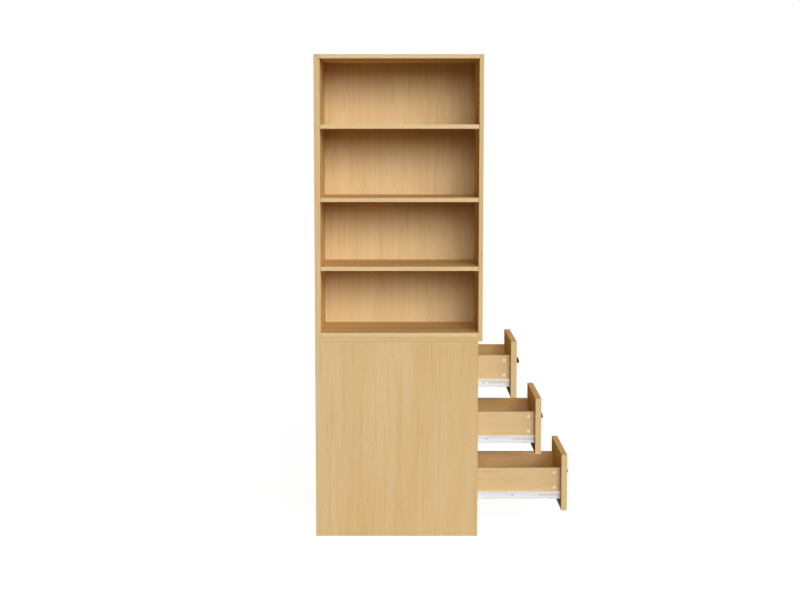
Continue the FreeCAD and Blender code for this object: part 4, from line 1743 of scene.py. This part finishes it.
@dataclass
class Drawer(DrawerPart):
    """One drawer: its boards, runners, rollers, caps, pull and fasteners."""

    box_arris: float = 0.5 * MM
    floor_arris: float = 0.3 * MM
    first_seed: float = 31.5
    seed_step: float = 7.0

    def build(self) -> None:
        """Makes every visible piece of the drawer."""
        seed = self.first_seed + self.seed_step * self.number
        grooved = {"panels": [f"{self.body}_bottom"]}
        # The front, the back and the far (right) side take the painted-shade prints, which paint
        # the shade on their faces; the near side keeps the calm print.
        self.board("front", Slot.OAK_UPRIGHT, seed, PAINTED_SHADE_PRINT, **grooved)
        for flank, step, tones in ((Flank.LEFT, 1, CALM_PRINT), (Flank.RIGHT, 2, PAINTED_DEEP_SHADE_PRINT)):
            runner = DrawerRunner(self.number, flank)
            extras = {"arris": self.box_arris, "holes": [runner.pilot_hole()], **grooved}
            self.board(f"{flank.word}_side", Slot.OAK_LENGTHWISE, seed + step, tones, **extras)
            runner.build()
        self.board("back", Slot.OAK_CROSSWISE, seed + 3, PAINTED_SHADE_PRINT, arris=self.box_arris)
        self.board("bottom", Slot.OAK_LENGTHWISE, seed + 4, arris=self.floor_arris)
        WebScrews(self.number).build()
        Rollers(self.number, on_drawer=True).build()
        CamCaps(self.number).build()
        Pull(self.number).build()
        dress(f"{self.body}_fasteners", ZINC)

    def board(self, part: str, *looks: object, **extras: object) -> None:
        """Makes one board of the drawer from its slot, seed and print."""
        Board(f"{self.body}_{part}", *looks, body=self.body, **extras).build()


@dataclass
class Fixings:
    """The cams, bolts, dowels and screws that hold the boards together."""

    cast: Sequence[str] = ("carcass_cams",)
    plated: Sequence[str] = ("carcass_cam_bolts", "unit_joining_screws", "cabinet_runner_screws")
    wooden: Sequence[str] = ("carcass_dowels",)

    def build(self) -> None:
        """Dresses the CAD nodes of the fixings."""
        for nodes, finish in ((self.cast, DIE_CAST), (self.plated, ZINC), (self.wooden, BEECH)):
            for node in nodes:
                dress(node, finish)


# ------------------------------------------------------------------- room and lighting
@dataclass(frozen=True)
class Viewpoint:
    """The camera: where it stands, how it tilts, and its lens."""

    place: tuple[float, float, float] = (0.0124, -5.5806, 1.4951)
    tilt_down: float = 0.0992
    focal_pixels: float = 1413.0
    image_width: float = 800.0
    sensor: float = 36.0
    lens_shift: float = -0.025
    nearest: float = 0.1
    farthest: float = 60.0

    def build(self) -> None:
        """Adds the camera and makes it the scene's."""
        data = bpy.data.cameras.new("viewpoint")
        data.sensor_width = self.sensor
        data.lens = self.focal_pixels * self.sensor / self.image_width
        data.shift_y = self.lens_shift
        data.clip_start, data.clip_end = self.nearest, self.farthest
        camera = added("viewpoint", data)
        camera.location = self.place
        camera.rotation_euler = (QUARTER_TURN - self.tilt_down, 0.0, 0.0)
        bpy.context.scene.camera = camera


@dataclass(frozen=True)
class SoftLamp:
    """A wide, far lamp that lights the whole object evenly.

    Attributes:
        name: The lamp's name.
        azimuth: Degrees round from the open front, towards the drawers.
        elevation: Degrees above the horizon.
        spread: How wide the lamp looks from the object, in degrees.
        strength: Light on a surface that faces it, as a share of white.
    """

    name: str
    azimuth: float
    elevation: float
    spread: float
    strength: float

    def build(self) -> None:
        """Adds the lamp."""
        data = bpy.data.lights.new(self.name, "SUN")
        data.angle = math.radians(self.spread)
        data.energy = math.pi * self.strength
        turn, rise = math.radians(self.azimuth), math.radians(self.elevation)
        level = math.cos(rise)
        towards = Vector((math.sin(turn) * level, -math.cos(turn) * level, math.sin(rise)))
        added(self.name, data).rotation_euler = towards.to_track_quat("Z", "Y").to_euler()


@dataclass(frozen=True)
class Studio:
    """White surroundings, a pale floor and soft lamps on every side."""

    floor_reach: float = 14.0
    floor_tone: float = 0.22
    floor_lift: float = 0.91
    ambient: float = 0.005
    lamps: Sequence[SoftLamp] = (
        SoftLamp("key_left", 2.0, 18.0, 28.0, 0.39),
        SoftLamp("key_right", 22.0, 18.0, 30.0, 0.475),
        SoftLamp("side_key", 60.0, 18.0, 30.0, 0.24),
        SoftLamp("overhead", 0.0, 75.0, 40.0, 0.07),
        SoftLamp("left_fill", -90.0, 3.0, 6.0, 0.6),
        SoftLamp("rear_fill", 180.0, 5.0, 10.0, 0.6),
        SoftLamp("right_fill", 92.0, 4.0, 8.0, 0.4),
    )

    def build(self) -> None:
        """Adds the surroundings, the floor and the lamps."""
        bpy.context.scene.view_settings.view_transform = "Standard"
        self.surroundings()
        self.floor()
        for lamp in self.lamps:
            lamp.build()

    def seen_directly(self, w: Wiring) -> Socket:
        """Tells the camera's rays, and those from a mirror or through glass, from others.

        Args:
            w: The wiring of a material or the world.

        Returns:
            1 for such a ray, otherwise 0.
        """
        path = w.node("ShaderNodeLightPath").outputs
        mirrored = w.math("MAXIMUM", path["Is Glossy Ray"], path["Is Transmission Ray"])
        return w.math("MAXIMUM", path["Is Camera Ray"], mirrored)

    def surroundings(self) -> None:
        """Makes a world that is white to look at, but only a faint light on the object."""
        world = bpy.data.worlds.new("surroundings")
        w = Wiring.of(world)
        strength = w.levels(self.seen_directly(w), self.ambient, 1.0)
        sky = w.node("ShaderNodeBackground", {"Color": (1, 1, 1, 1), "Strength": strength})
        w.node("ShaderNodeOutputWorld", {"Surface": sky.outputs[0]})
        bpy.context.scene.world = world

    def floor(self) -> None:
        """Makes a floor that looks white where it is lit and keeps the object's shadow."""
        material = bpy.data.materials.new("pale_floor")
        w = Wiring.of(material)
        tone = (self.floor_tone,) * 3 + (1.0,)
        matt = w.node("ShaderNodeBsdfDiffuse", {"Color": tone})
        lift = w.levels(self.seen_directly(w), 0.0, self.floor_lift)
        glow = w.node("ShaderNodeEmission", {"Strength": lift})
        both = w.node("ShaderNodeAddShader", {0: matt.outputs[0], 1: glow.outputs[0]})
        w.node("ShaderNodeOutputMaterial", {"Surface": both.outputs[0]})
        shape = bmesh.new()
        bmesh.ops.create_grid(shape, x_segments=1, y_segments=1, size=self.floor_reach)
        mesh = as_mesh(shape, "floor")
        mesh.materials.append(material)
        floor = added("floor", mesh)


def write_sizes() -> None:
    """Brings the view layer up to date.
    """
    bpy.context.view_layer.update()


def main() -> None:
    """Builds the sub-assemblies, the room and the camera."""
    logging.basicConfig(level=logging.INFO, format="%(message)s")
    Viewpoint().build()
    Studio().build()
    Bookcase().build()
    Chest().build()
    for flank in Flank:
        CabinetRunners(flank).build()
    for number in DRAWERS:
        Rollers(number, on_drawer=False).build()
        Drawer(number).build()
    Fixings().build()
    write_sizes()


if __name__ == "__main__":
    main()
